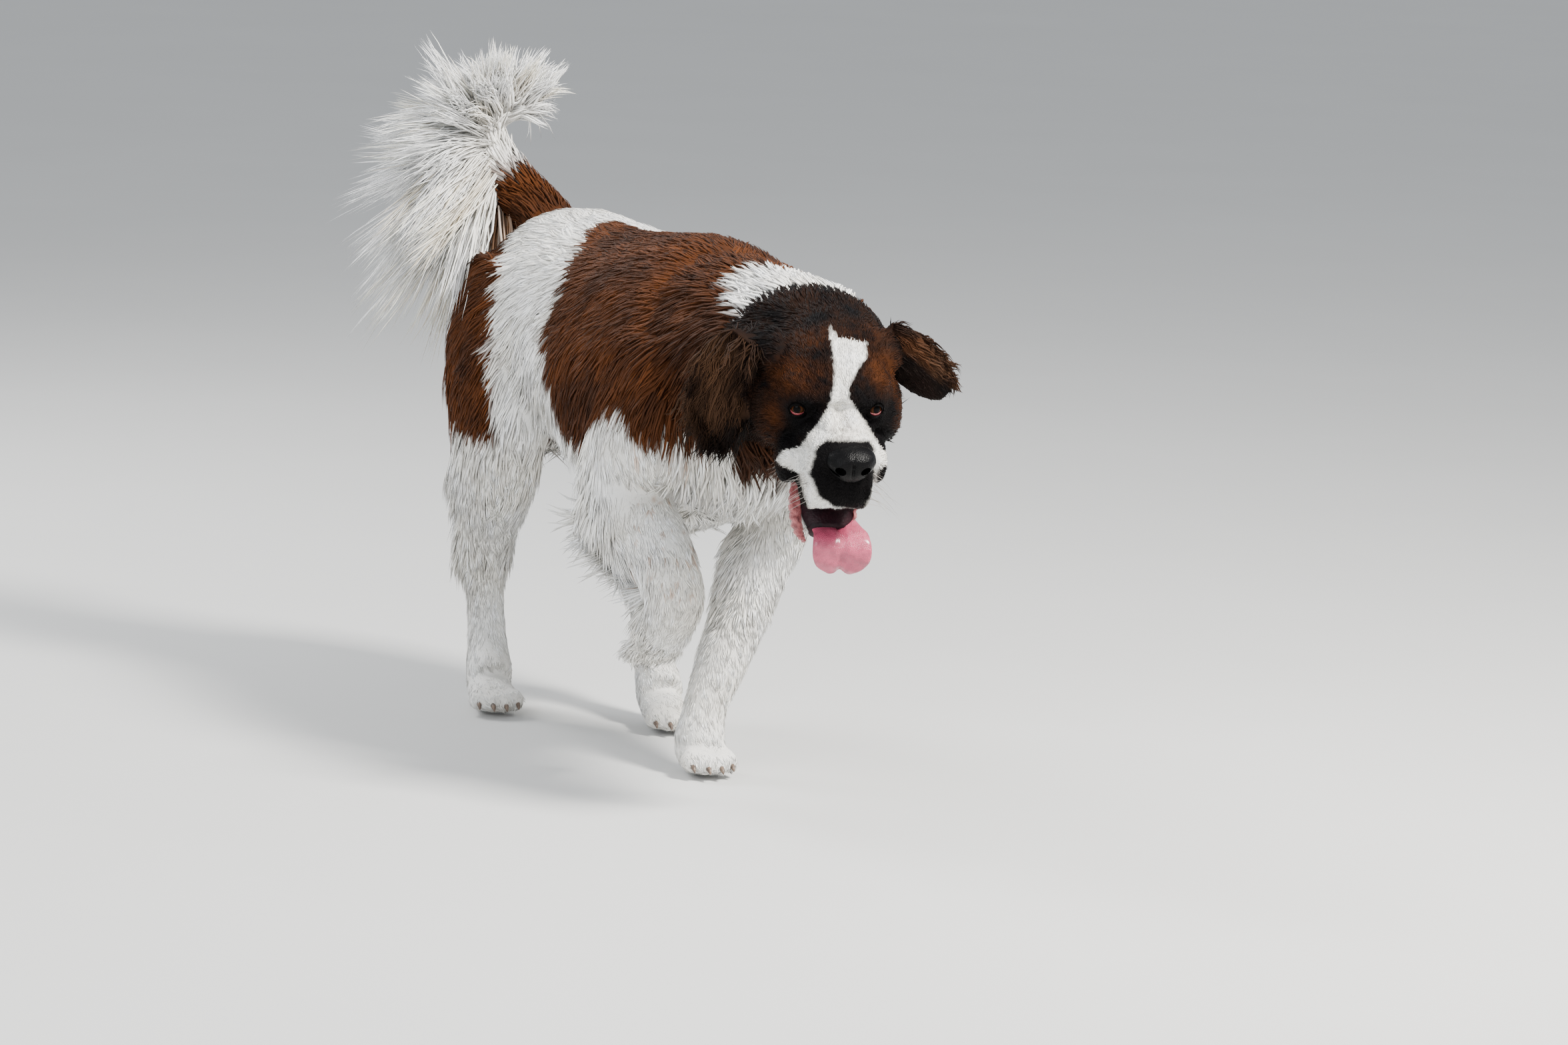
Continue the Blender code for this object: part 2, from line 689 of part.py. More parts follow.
def add_coat(whole):
    """Fuses every lock of the body's coat into its skin."""
    coat = bpy.data.collections.new("coat")
    bpy.context.scene.collection.children.link(coat)
    draw = random.Random(LOCK_SEED)
    tree = surface(whole)
    for name, field in FIELDS.items():
        field_locks(name, field, tree, draw, coat)
    plume_locks(draw, coat)
    union(whole, coat)


def union(whole, coat):
    """Joins every piece of a collection to a skin and takes the pieces away.

    The manifold solver does in a moment what the exact one takes long over.
    """
    modifier = whole.modifiers.new("union", "BOOLEAN")
    modifier.operation = "UNION"
    modifier.operand_type = "COLLECTION"
    modifier.solver = "MANIFOLD"
    modifier.collection = coat
    applied(whole)
    removed(list(coat.objects))
    bpy.data.collections.remove(coat)
    largest_body(whole)


def body_whole(collection):
    """Trunk, neck, legs, paws and tail in one skin, with soles cut flat on the floor."""
    rows = [(0.0, *row) for row in TRUNK]
    pieces = [loft("trunk", flesh_sections(rows, BODY_COAT), SIDEWAYS, collection)]
    pieces.append(loft("neck_core", flesh_sections(NECK, NECK_COAT), SIDEWAYS, collection))
    legs = {
        "hind_right": HIND_RIGHT,
        "hind_left": HIND_LEFT,
        "fore_left": FORE_LEFT,
        "fore_right": FORE_RIGHT,
    }
    for name, rows in legs.items():
        pieces.append(loft(name, flesh_sections(rows, LEG_COAT), SIDEWAYS, collection))
        pieces += paw_pieces(name, collection)
    tail = [(left, forward, up, half, half) for left, forward, up, half in TAIL]
    pieces.append(loft("tail_core", flesh_sections(tail, TAIL_COAT), SIDEWAYS, collection))
    whole = fused("body_whole", pieces, BODY_VOXEL, BODY_TRIANGLES, 4, collection)
    add_coat(whole)
    floor = box("floor", Vector((0, 0, -0.5)), (SIDEWAYS, Vector((0, 1, 0)), UPWARDS), (2, 2, 0.5), collection)
    boolean(whole, floor, "DIFFERENCE")
    removed([floor])
    return whole


def head_sections(rows, coat):
    """Loft sections from rows of forward, up, half width and half height in the head's frame."""
    return [
        (in_head(0, up, forward), (wide + coat) * SCALE, (high + coat) * SCALE)
        for forward, up, wide, high in rows
    ]


def head_whole(collection):
    """Skull, muzzle, cheeks, brows and flews in one skin."""
    left_axis = HEAD.to_3x3() @ Vector((1, 0, 0))
    pieces = [
        loft("skull", head_sections(SKULL, SKULL_COAT), left_axis, collection),
        loft("muzzle", head_sections(MUZZLE, FACE_COAT), left_axis, collection),
        loft("nape", flesh_sections(NECK[2:], NECK_COAT), SIDEWAYS, collection),
    ]
    for form, (middle, halves) in FACE_FORMS.items():
        for side in (1, -1):
            centre = in_head(middle[0] * side, middle[1], middle[2])
            grown = [(half + FACE_COAT) * SCALE for half in halves]
            pieces.append(ellipsoid(f"{form}_{side}", centre, grown, HEAD, collection))
    return fused("head", pieces, HEAD_VOXEL, HEAD_TRIANGLES, 3, collection)


def split(whole, cutter, name, collection):
    """Takes the part of a skin inside a cutter into a node of its own, with a thin gap between.

    The exact solver loses a skin that carries locks, so these cuts use the manifold one.
    """
    part = copy_of(whole, name, collection)
    boolean(part, cutter, "INTERSECT", "MANIFOLD")
    wider = swollen(cutter, GAP, collection)
    boolean(whole, wider, "DIFFERENCE", "MANIFOLD")
    removed([wider, cutter])
    return largest_body(part)


def half_space(name, point, ahead, collection, reach=0.9):
    """A large block whose near face passes through a point, facing along ahead."""
    ahead = ahead.normalized()
    side = ahead.cross(UPWARDS).normalized()
    centre = point + ahead * reach
    return box(name, centre, (side, ahead, side.cross(ahead)), (reach, reach, reach), collection)


def leg_box(start, end, half_width, half_depth, collection):
    """The block of space round one stretch of a leg, squared off at its joints."""
    along = end - start
    side = (SIDEWAYS - SIDEWAYS.dot(along.normalized()) * along.normalized()).normalized()
    halves = (half_width, half_depth, along.length / 2)
    axes = (side, along.cross(side), along)
    return box("leg_box", (start + end) / 2, axes, halves, collection)


def split_legs(whole, collection):
    """Parts each paw from its leg and each leg from the trunk, the paw first."""
    nodes = []
    for leg, points in LEG_JOINTS.items():
        joints = [place(*point) for point in points]
        depths = LEG_HALF_DEPTHS[leg.split("_")[0]]
        boxes = []
        for index, depth in enumerate(depths):
            along = (joints[index + 1] - joints[index]).normalized()
            end = joints[index + 1] + along * LEG_OVERRUN * SCALE
            boxes.append(leg_box(joints[index], end, LEG_HALF_WIDTH * SCALE, depth * SCALE, collection))
        upper, lower, paw = boxes
        nodes.append(split(whole, paw, leg + "_paw", collection))
        boolean(upper, lower, "UNION")
        removed([lower])
        nodes.append(split(whole, upper, leg + "_leg", collection))
    return nodes


def split_tail(whole, collection):
    """Parts the tail from the rump, and its brown root from the plume."""
    root = place(*TAIL_ROOT)
    cutter = half_space("tail_space", root, place(*TAIL_CUT_AHEAD), collection)
    plume = split(whole, cutter, "tail_plume", collection)
    kink = place(*TAIL_KINK)
    start = root - (kink - root) * 0.5
    cutter = leg_box(start, kink, 0.062 * SCALE, 0.052 * SCALE, collection)
    return [split(plume, cutter, "tail_root", collection), largest_body(plume)]


def split_neck(whole, head, collection):
    """Parts the neck from the trunk, and head and neck from each other at the nape."""
    cutter = half_space("neck_space", place(*NECK_CUT), place(*NECK_CUT_AHEAD), collection)
    neck = split(whole, cutter, "neck", collection)
    ahead = HEAD.to_3x3() @ Vector(NAPE_CUT_AHEAD)
    cutter = half_space("head_space", in_head(*NAPE_CUT), ahead, collection)
    boolean(head, cutter, "INTERSECT")
    wider = swollen(cutter, GAP, collection)
    boolean(neck, wider, "DIFFERENCE", "MANIFOLD")
    removed([cutter, wider])
    for node in (head, neck):
        largest_body(node)
    return neck


def eyes(head, collection):
    """Sets both eyeballs in sockets that open between the lids."""
    nodes = []
    for name, side in (("eye_left", 1), ("eye_right", -1)):
        centre = in_head(EYE_PLACE[0] * side, EYE_PLACE[1], EYE_PLACE[2])
        radius = EYE_RADIUS * SCALE
        eye = ellipsoid(name, centre, (radius,) * 3, HEAD, collection, rings=8, segments=12)
        socket = (radius + GAP,) * 3
        socket = ellipsoid("socket", centre, socket, HEAD, collection, rings=8, segments=12)
        boolean(head, socket, "DIFFERENCE")
        outward = Matrix.Rotation(math.radians(LID_TURN_DEG) * side, 4, "Y")
        droop = Matrix.Rotation(math.radians(-LID_DROOP_DEG) * side, 4, "Z")
        frame = HEAD @ outward @ droop
        opening = centre + frame.to_3x3() @ Vector((0, 0, LID_REACH * SCALE))
        halves = [half * SCALE for half in LID_HALVES]
        lids = ellipsoid("lids", opening, halves, frame, collection)
        boolean(head, lids, "DIFFERENCE")
        removed([socket, lids])
        nodes.append(eye)
    return nodes


def nose(head, collection):
    """The nose leather, bedded in the muzzle, with its nostrils and the groove between them."""
    centre = in_head(*NOSE_PLACE)
    halves = [half * SCALE for half in NOSE_HALF]
    pad = ellipsoid("nose_pad", centre, halves, HEAD, collection, rings=8, segments=12)
    bed = swollen(pad, GAP, collection)
    boolean(head, bed, "DIFFERENCE")
    cutters = [bed]
    for side in (1, -1):
        hole = in_head(NOSTRIL_PLACE[0] * side, NOSTRIL_PLACE[1], NOSTRIL_PLACE[2])
        halves = [half * SCALE for half in NOSTRIL_HALF]
        cutters.append(ellipsoid("nostril", hole, halves, HEAD, collection, rings=6, segments=10))
    groove = in_head(0, NOSTRIL_PLACE[1] - 0.014, NOSTRIL_PLACE[2])
    cutters.append(ellipsoid("groove", groove, (0.0015, 0.014, 0.008), HEAD, collection, 6, 8))
    for cutter in cutters[1:]:
        boolean(pad, cutter, "DIFFERENCE")
    removed(cutters)
    return largest_body(pad)


def mouth(head, neck, collection):
    """Opens the mouth and hangs the jaw and the tongue in it."""
    left_axis = HEAD.to_3x3() @ Vector((1, 0, 0))
    sections = head_sections(MOUTH, 0)
    opening = loft("mouth_opening", sections, left_axis, collection, 16)
    boolean(head, opening, "DIFFERENCE")
    jaw = loft("lower_jaw", head_sections(JAW, FACE_COAT), left_axis, collection, 16)
    rows = [(forward, up, wide, thick) for up, forward, wide, thick in TONGUE]
    tongue = loft("tongue", head_sections(rows, 0), left_axis, collection, 14)
    removed([opening])
    for node, below in ((jaw, (head, neck)), (tongue, (jaw, head))):
        wider = swollen(node, GAP, collection)
        for other in below:
            boolean(other, wider, "DIFFERENCE", "MANIFOLD")
            largest_body(other)
        removed([wider])
    return [jaw, tongue]


def ears(head, neck, collection):
    """Both flaps with the long hair that falls from them, clear of head and neck."""
    nodes = []
    draw = random.Random(LOCK_SEED)
    near = [swollen(other, GAP, collection) for other in (head, neck)]
    for name, rows, across, lie in (
        ("ear_right", EAR_RIGHT, (1, 0.25, 0), EAR_RIGHT_LIE),
        ("ear_left", EAR_LEFT, (0.25, 1, 0), EAR_LEFT_LIE),
    ):
        sections = [
            (in_head(left, up, forward), wide * SCALE, thick * SCALE)
            for left, up, forward, wide, thick in rows
        ]
        across = HEAD.to_3x3() @ Vector(across)
        ear = loft(name, sections, across, collection, EAR_SIDES)
        hair = bpy.data.collections.new(name + "_hair")
        bpy.context.scene.collection.children.link(hair)
        lie = HEAD.to_3x3() @ Vector(lie)
        facing = HEAD.to_3x3() @ Vector((0, 0, 1))
        for index in range(EAR_LOCKS):
            share = (index % (EAR_LOCKS // 2)) / (EAR_LOCKS // 2 - 1)
            spot = 0.8 + share * (len(sections) - 2.2)
            centre, wide, _ = sections[int(spot)]
            centre = centre.lerp(sections[int(spot) + 1][0], spot - int(spot))
            edge = 1 if index < EAR_LOCKS // 2 else -1
            aside = across.normalized() * wide * 0.5 * edge
            heading = lie + across.normalized() * edge * EAR_FAN + facing * draw.uniform(-0.05, 0.12)
            size = draw.uniform(1 - LOCK_VARIATION, 1 + LOCK_VARIATION) * SCALE
            lock(
                f"{name}_lock_{index}", centre + aside, facing, heading, lie * 0.1,
                EAR_LOCK_LENGTH * size, EAR_LOCK_WIDTH * size, EAR_LOCK_THICKNESS * SCALE, hair,
            )
        union(ear, hair)
        for other in near:
            boolean(ear, other, "DIFFERENCE", "MANIFOLD")
        nodes.append(largest_body(ear))
    removed(near)
    return nodes


def collar(neck, collection):
    """A webbing collar under the ruff, seen only through a parting of the hair at the throat."""
    before, after = NECK[COLLAR_STATION], NECK[COLLAR_STATION + 1]
    left, forward, up, wide, deep = (
        one + (other - one) * COLLAR_ONWARD for one, other in zip(before, after)
    )
    centre = place(left, forward, up)
    along = (place(*after[:3]) - place(*before[:3])).normalized()
    wide = (wide + NECK_COAT - COLLAR_SINK) * SCALE
    deep = (deep + NECK_COAT - COLLAR_SINK) * SCALE
    half = along * COLLAR_WIDTH / 2 * SCALE
    thick = COLLAR_THICKNESS * SCALE
    inside = [(centre - half * 2, wide, deep), (centre + half * 2, wide, deep)]
    inside = loft("inside", inside, SIDEWAYS, collection, COLLAR_SIDES)
    band = [(centre + end, wide + thick, deep + thick) for end in (-half, half)]
    band = loft("collar", band, SIDEWAYS, collection, COLLAR_SIDES)
    boolean(band, inside, "DIFFERENCE")
    bed = swollen(band, COLLAR_GAP, collection)
    boolean(neck, bed, "DIFFERENCE", "MANIFOLD")
    throat = centre - UPWARDS * (deep + PARTING_DEPTH / 2) * SCALE
    axes = (SIDEWAYS, along, SIDEWAYS.cross(along))
    halves = (PARTING_WIDTH / 2, COLLAR_WIDTH * 0.35, PARTING_DEPTH / 2)
    parting = box("parting", throat, axes, [size * SCALE for size in halves], collection)
    boolean(parting, bed, "DIFFERENCE")
    boolean(neck, parting, "DIFFERENCE", "MANIFOLD")
    removed([inside, bed, parting])
    return [band]


def paint(nodes):
    """Gives every node a material of its own kind."""
    for node in nodes:
        kind = COATS.get(node.name, "white_coat")
        colour, roughness = MATERIALS[kind]
        material = bpy.data.materials.new(f"{node.name}_{kind}")
        material.use_nodes = True
        shader = material.node_tree.nodes["Principled BSDF"]
        shader.inputs["Base Color"].default_value = (*colour, 1)
        shader.inputs["Roughness"].default_value = roughness
        shader.inputs["Metallic"].default_value = 0.0
        node.data.materials.clear()
        node.data.materials.append(material)


def centred(nodes):
    """Moves the dog so that the middle of its box stands over the origin."""
    corners = [vertex.co for node in nodes for vertex in node.data.vertices]
    low = [min(corner[axis] for corner in corners) for axis in range(3)]
    high = [max(corner[axis] for corner in corners) for axis in range(3)]
    shift = Vector((-(low[0] + high[0]) / 2, -(low[1] + high[1]) / 2, -low[2]))
    for node in nodes:
        node.data.transform(Matrix.Translation(shift))


def main():
    for obj in list(bpy.data.objects):
        bpy.data.objects.remove(obj)
    dog = bpy.data.collections.new("saint_bernard")
    bpy.context.scene.collection.children.link(dog)
    torso = body_whole(dog)
    head = head_whole(dog)
    legs = split_legs(torso, dog)
    tail = split_tail(torso, dog)
    neck = split_neck(torso, head, dog)
    face = eyes(head, dog) + [nose(head, dog)] + mouth(head, neck, dog)
    face += ears(head, neck, dog)
    worn = collar(neck, dog)
    torso.name = "torso"
    largest_body(torso)
    nodes = [torso, neck, head] + legs + tail + face + worn
    paint(nodes)
    centred(nodes)


main()
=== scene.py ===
"""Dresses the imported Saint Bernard: one sculpted skin, its coat in tufts, and the face's fine parts.

Places on the dog are written as (left, forward, up) in metres, as on the drawing board, and
places on the head as (left, up, forward) from the middle of the eyes.
"""

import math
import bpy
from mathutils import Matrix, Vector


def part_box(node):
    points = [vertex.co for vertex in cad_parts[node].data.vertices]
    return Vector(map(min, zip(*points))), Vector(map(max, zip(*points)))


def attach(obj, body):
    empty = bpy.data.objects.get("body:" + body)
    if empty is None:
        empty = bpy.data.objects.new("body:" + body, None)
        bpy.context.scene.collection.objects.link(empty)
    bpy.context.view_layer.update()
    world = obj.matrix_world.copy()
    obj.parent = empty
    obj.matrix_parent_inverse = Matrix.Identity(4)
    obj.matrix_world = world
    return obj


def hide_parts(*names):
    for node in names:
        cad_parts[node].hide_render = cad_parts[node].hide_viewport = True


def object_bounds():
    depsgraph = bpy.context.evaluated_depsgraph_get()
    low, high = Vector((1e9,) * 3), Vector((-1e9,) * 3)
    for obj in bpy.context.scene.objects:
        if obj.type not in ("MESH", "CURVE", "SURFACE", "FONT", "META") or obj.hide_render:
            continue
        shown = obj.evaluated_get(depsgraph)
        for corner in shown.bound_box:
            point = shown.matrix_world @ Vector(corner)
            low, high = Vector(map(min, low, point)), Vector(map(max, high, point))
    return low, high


bl_info = {
    "name": "Saint Bernard",
    "version": (1, 0, 0),
    "blender": (4, 5, 0),
    "location": "View3D > Sidebar > Dog",
    "description": "Sculpts and grooms a life-size walking Saint Bernard",
    "category": "Object",
}

import bmesh
import bpy
import numpy as np
from bpy.props import FloatProperty, FloatVectorProperty, IntProperty, PointerProperty
from mathutils import Matrix, Vector, noise
from mathutils.bvhtree import BVHTree
from mathutils.kdtree import KDTree

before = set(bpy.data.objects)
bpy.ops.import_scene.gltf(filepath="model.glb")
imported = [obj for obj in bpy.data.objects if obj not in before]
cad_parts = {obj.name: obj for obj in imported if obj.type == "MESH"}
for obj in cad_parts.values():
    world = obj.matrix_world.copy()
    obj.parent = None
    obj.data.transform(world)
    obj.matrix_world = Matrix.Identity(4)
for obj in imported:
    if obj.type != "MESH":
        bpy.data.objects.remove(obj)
CAD_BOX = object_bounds()

# Where the head sits and how it is turned, and the middle of the eyes in its own axes
HEAD_PLACE = (-0.010, 0.700, 0.588)
HEAD_TURN_DEG = 14.0
HEAD_DROP_DEG = 20.0
EYE_PLACE = (0.0510, 0.000, 0.003)
EYE_RADIUS = 0.0135
# How far the eye's opening is turned outwards, droops at its outer end and looks up
EYE_OUT_DEG = 24.0
EYE_DROOP_DEG = 16.0
EYE_RAISED_DEG = 15.0

# The trunk: left, forward, middle height, half width, half height
TRUNK = [
    (0, -0.430, 0.604, 0.045, 0.066),
    (0, -0.400, 0.590, 0.095, 0.116),
    (0, -0.330, 0.581, 0.135, 0.154),
    (0, -0.240, 0.581, 0.148, 0.165),
    (0, -0.120, 0.587, 0.138, 0.155),
    (0, 0.000, 0.574, 0.147, 0.168),
    (0, 0.120, 0.565, 0.160, 0.186),
    (0, 0.220, 0.563, 0.163, 0.194),
    (0, 0.300, 0.563, 0.156, 0.181),
    (0, 0.380, 0.556, 0.135, 0.141),
    (0, 0.440, 0.545, 0.095, 0.090),
    (0, 0.470, 0.540, 0.050, 0.048),
]
# The neck and the legs: left, forward, up, half width, half depth
NECK = [
    (0.000, 0.240, 0.608, 0.120, 0.128),
    (0.002, 0.360, 0.611, 0.120, 0.122),
    (0.012, 0.460, 0.617, 0.112, 0.108),
    (0.022, 0.550, 0.628, 0.097, 0.091),
    (0.024, 0.600, 0.630, 0.076, 0.070),
    (0.020, 0.640, 0.626, 0.048, 0.044),
]
LEGS = {
    "hind_right": [
        (-0.070, -0.270, 0.660, 0.080, 0.120),
        (-0.105, -0.275, 0.560, 0.078, 0.130),
        (-0.120, -0.262, 0.460, 0.062, 0.112),
        (-0.122, -0.275, 0.370, 0.048, 0.080),
        (-0.116, -0.315, 0.285, 0.036, 0.052),
        (-0.112, -0.348, 0.215, 0.027, 0.038),
        (-0.110, -0.340, 0.150, 0.023, 0.029),
        (-0.113, -0.320, 0.085, 0.026, 0.031),
        (-0.120, -0.290, 0.045, 0.032, 0.042),
    ],
    "hind_left": [
        (0.070, -0.260, 0.660, 0.080, 0.120),
        (0.105, -0.235, 0.560, 0.078, 0.130),
        (0.120, -0.180, 0.460, 0.062, 0.112),
        (0.114, -0.168, 0.370, 0.048, 0.080),
        (0.102, -0.185, 0.285, 0.036, 0.052),
        (0.096, -0.200, 0.215, 0.027, 0.038),
        (0.090, -0.170, 0.150, 0.023, 0.029),
        (0.082, -0.130, 0.085, 0.026, 0.031),
        (0.074, -0.085, 0.045, 0.032, 0.042),
    ],
    "fore_left": [
        (0.085, 0.300, 0.620, 0.075, 0.125),
        (0.118, 0.300, 0.520, 0.066, 0.110),
        (0.128, 0.250, 0.440, 0.055, 0.082),
        (0.118, 0.225, 0.360, 0.047, 0.060),
        (0.078, 0.240, 0.280, 0.042, 0.047),
        (0.042, 0.256, 0.200, 0.034, 0.038),
        (0.016, 0.268, 0.150, 0.033, 0.036),
        (-0.010, 0.276, 0.090, 0.027, 0.030),
        (-0.020, 0.285, 0.045, 0.033, 0.042),
    ],
    "fore_right": [
        (-0.085, 0.300, 0.620, 0.075, 0.125),
        (-0.122, 0.305, 0.520, 0.066, 0.108),
        (-0.136, 0.275, 0.435, 0.056, 0.078),
        (-0.136, 0.320, 0.375, 0.050, 0.060),
        (-0.136, 0.385, 0.350, 0.043, 0.047),
        (-0.137, 0.435, 0.322, 0.037, 0.040),
        (-0.137, 0.458, 0.285, 0.036, 0.038),
        (-0.134, 0.432, 0.255, 0.034, 0.032),
        (-0.131, 0.405, 0.232, 0.036, 0.034),
    ],
}
# Each paw's heel and toes
PAWS = {
    "hind_right": ((-0.120, -0.300, 0.030), (-0.136, -0.220, 0.024)),
    "hind_left": ((0.074, -0.090, 0.030), (0.062, -0.010, 0.024)),
    "fore_left": ((-0.018, 0.262, 0.030), (-0.024, 0.330, 0.024)),
    "fore_right": ((-0.131, 0.415, 0.235), (-0.126, 0.355, 0.198)),
}
PAW_HALF_WIDTH = 0.038
PAW_HALF_HEIGHT = 0.030
TOE_RADIUS = 0.0150
# The tail's bone: left, forward, up, half width
TAIL = [
    (0.000, -0.350, 0.698, 0.045),
    (-0.008, -0.410, 0.728, 0.036),
    (-0.025, -0.465, 0.768, 0.028),
    (-0.045, -0.505, 0.810, 0.023),
    (-0.055, -0.514, 0.845, 0.019),
    (-0.046, -0.512, 0.872, 0.016),
    (-0.024, -0.505, 0.888, 0.013),
    (0.004, -0.496, 0.888, 0.010),
]

# The head: forward, up, half width, half height in its own axes
SKULL = [
    (-0.215, -0.010, 0.060, 0.060),
    (-0.170, 0.000, 0.082, 0.076),
    (-0.110, 0.004, 0.089, 0.084),
    (-0.050, 0.000, 0.086, 0.080),
    (-0.018, -0.010, 0.078, 0.066),
    (0.004, -0.022, 0.064, 0.050),
]
MUZZLE = [
    (-0.050, -0.048, 0.070, 0.054),
    (0.000, -0.046, 0.060, 0.048),
    (0.045, -0.050, 0.050, 0.046),
    (0.082, -0.054, 0.043, 0.044),
    (0.098, -0.056, 0.033, 0.034),
]
# Fleshy forms of the face on both sides: left, up, forward and three half sizes
FACE_FORMS = [
    ((0.066, -0.030, -0.062), (0.036, 0.052, 0.062)),
    ((0.044, 0.033, -0.012), (0.030, 0.015, 0.020)),
    ((0.052, -0.022, -0.010), (0.019, 0.012, 0.017)),
    ((0.031, -0.084, 0.048), (0.021, 0.042, 0.046)),
    ((0.057, -0.078, 0.002), (0.019, 0.032, 0.038)),
    ((0.020, -0.076, 0.078), (0.025, 0.038, 0.025)),
    ((0.000, -0.080, 0.080), (0.022, 0.036, 0.022)),
    ((0.070, 0.040, -0.085), (0.030, 0.028, 0.040)),
    ((0.014, -0.004, 0.012), (0.018, 0.012, 0.044)),
]
MOUTH = [
    (-0.040, -0.120, 0.048, 0.018),
    (0.010, -0.132, 0.046, 0.026),
    (0.060, -0.148, 0.044, 0.036),
    (0.130, -0.160, 0.044, 0.046),
]
JAW = [
    (-0.120, -0.080, 0.050, 0.034),
    (-0.070, -0.112, 0.048, 0.030),
    (-0.020, -0.143, 0.042, 0.024),
    (0.020, -0.166, 0.036, 0.020),
    (0.040, -0.176, 0.026, 0.015),
]
# The tongue: up, forward, half width, half thickness
TONGUE = [
    (-0.148, -0.040, 0.026, 0.008),
    (-0.164, 0.000, 0.030, 0.008),
    (-0.172, 0.034, 0.035, 0.008),
    (-0.175, 0.057, 0.039, 0.008),
    (-0.183, 0.070, 0.041, 0.007),
    (-0.197, 0.073, 0.040, 0.006),
    (-0.213, 0.071, 0.033, 0.006),
    (-0.224, 0.069, 0.018, 0.004),
]
TONGUE_ASIDE = 0.015
# Each ear's flap: left, up, forward, half width, half thickness
EARS = {
    "right": [
        (-0.076, 0.058, -0.100, 0.036, 0.008),
        (-0.106, 0.046, -0.118, 0.042, 0.008),
        (-0.126, 0.008, -0.124, 0.048, 0.008),
        (-0.130, -0.038, -0.120, 0.046, 0.008),
        (-0.128, -0.074, -0.112, 0.034, 0.007),
        (-0.125, -0.096, -0.105, 0.018, 0.006),
    ],
    "left": [
        (0.074, 0.050, -0.100, 0.034, 0.008),
        (0.100, 0.034, -0.106, 0.038, 0.008),
        (0.126, 0.014, -0.102, 0.038, 0.008),
        (0.148, -0.004, -0.095, 0.034, 0.008),
        (0.164, -0.018, -0.090, 0.025, 0.007),
        (0.174, -0.026, -0.086, 0.012, 0.005),
    ],
}
EAR_ACROSS = {"right": (1, 0.25, 0), "left": (0.25, 1, 0)}
EAR_LIE = {"right": (-0.22, -0.95, -0.14), "left": (0.92, -0.34, 0.05)}

# How far the skin lies over the flesh, which leaves the coat's depth outside it
TRUNK_SKIN = 0.014
NECK_SKIN = 0.020
LEG_SKIN = 0.004
TAIL_SKIN = 0.006
SKULL_SKIN = 0.004
FACE_SKIN = 0.002

# The collar: its two half sizes, its width and how far it sags towards the throat
COLLAR_HALVES = (0.108, 0.105)
COLLAR_WIDTH = 0.036
COLLAR_DROP = 0.010

# How near a point lies to the head's or an ear's surface to take its markings, and how far aside
# of the head's middle the ears' hair begins
HEAD_NEAR = 0.0012
EAR_NEAR = 0.005
EAR_FROM = 0.088

# The shells of the lids and haws: outer and inner radius as shares of the eye's, then where their
# opening stands and its half sizes, in the eye's own axes
LID_SHELL = ((1.17, 1.04), (0, -0.0026, 0.0150), (0.0104, 0.0072, 0.016))
HAW_SHELL = ((1.06, 1.005), (-0.0036, 0.0026, 0.0150), (0.0148, 0.0096, 0.016))

# The nose leather's middle and half sizes in the head's axes
NOSE_PLACE = (0.010, -0.034, 0.096)
NOSE_HALF = (0.0350, 0.030, 0.028)
# What is cut from the nose on both sides, the nostril and its slit: how far aside of the nose's
# middle, up, forward and three half sizes
NOSTRIL_CUTS = [
    (0.0175, -0.038, 0.120, (0.0076, 0.0064, 0.0160)),
    (0.0255, -0.044, 0.113, (0.0100, 0.0026, 0.0120)),
]

# The solids that the one skin replaces
FLESH = [
    "torso", "neck", "head", "lower_jaw", "ear_left", "ear_right", "tail_root", "tail_plume",
    "fore_left_leg", "fore_left_paw", "fore_right_leg", "fore_right_paw",
    "hind_left_leg", "hind_left_paw", "hind_right_leg", "hind_right_paw",
]

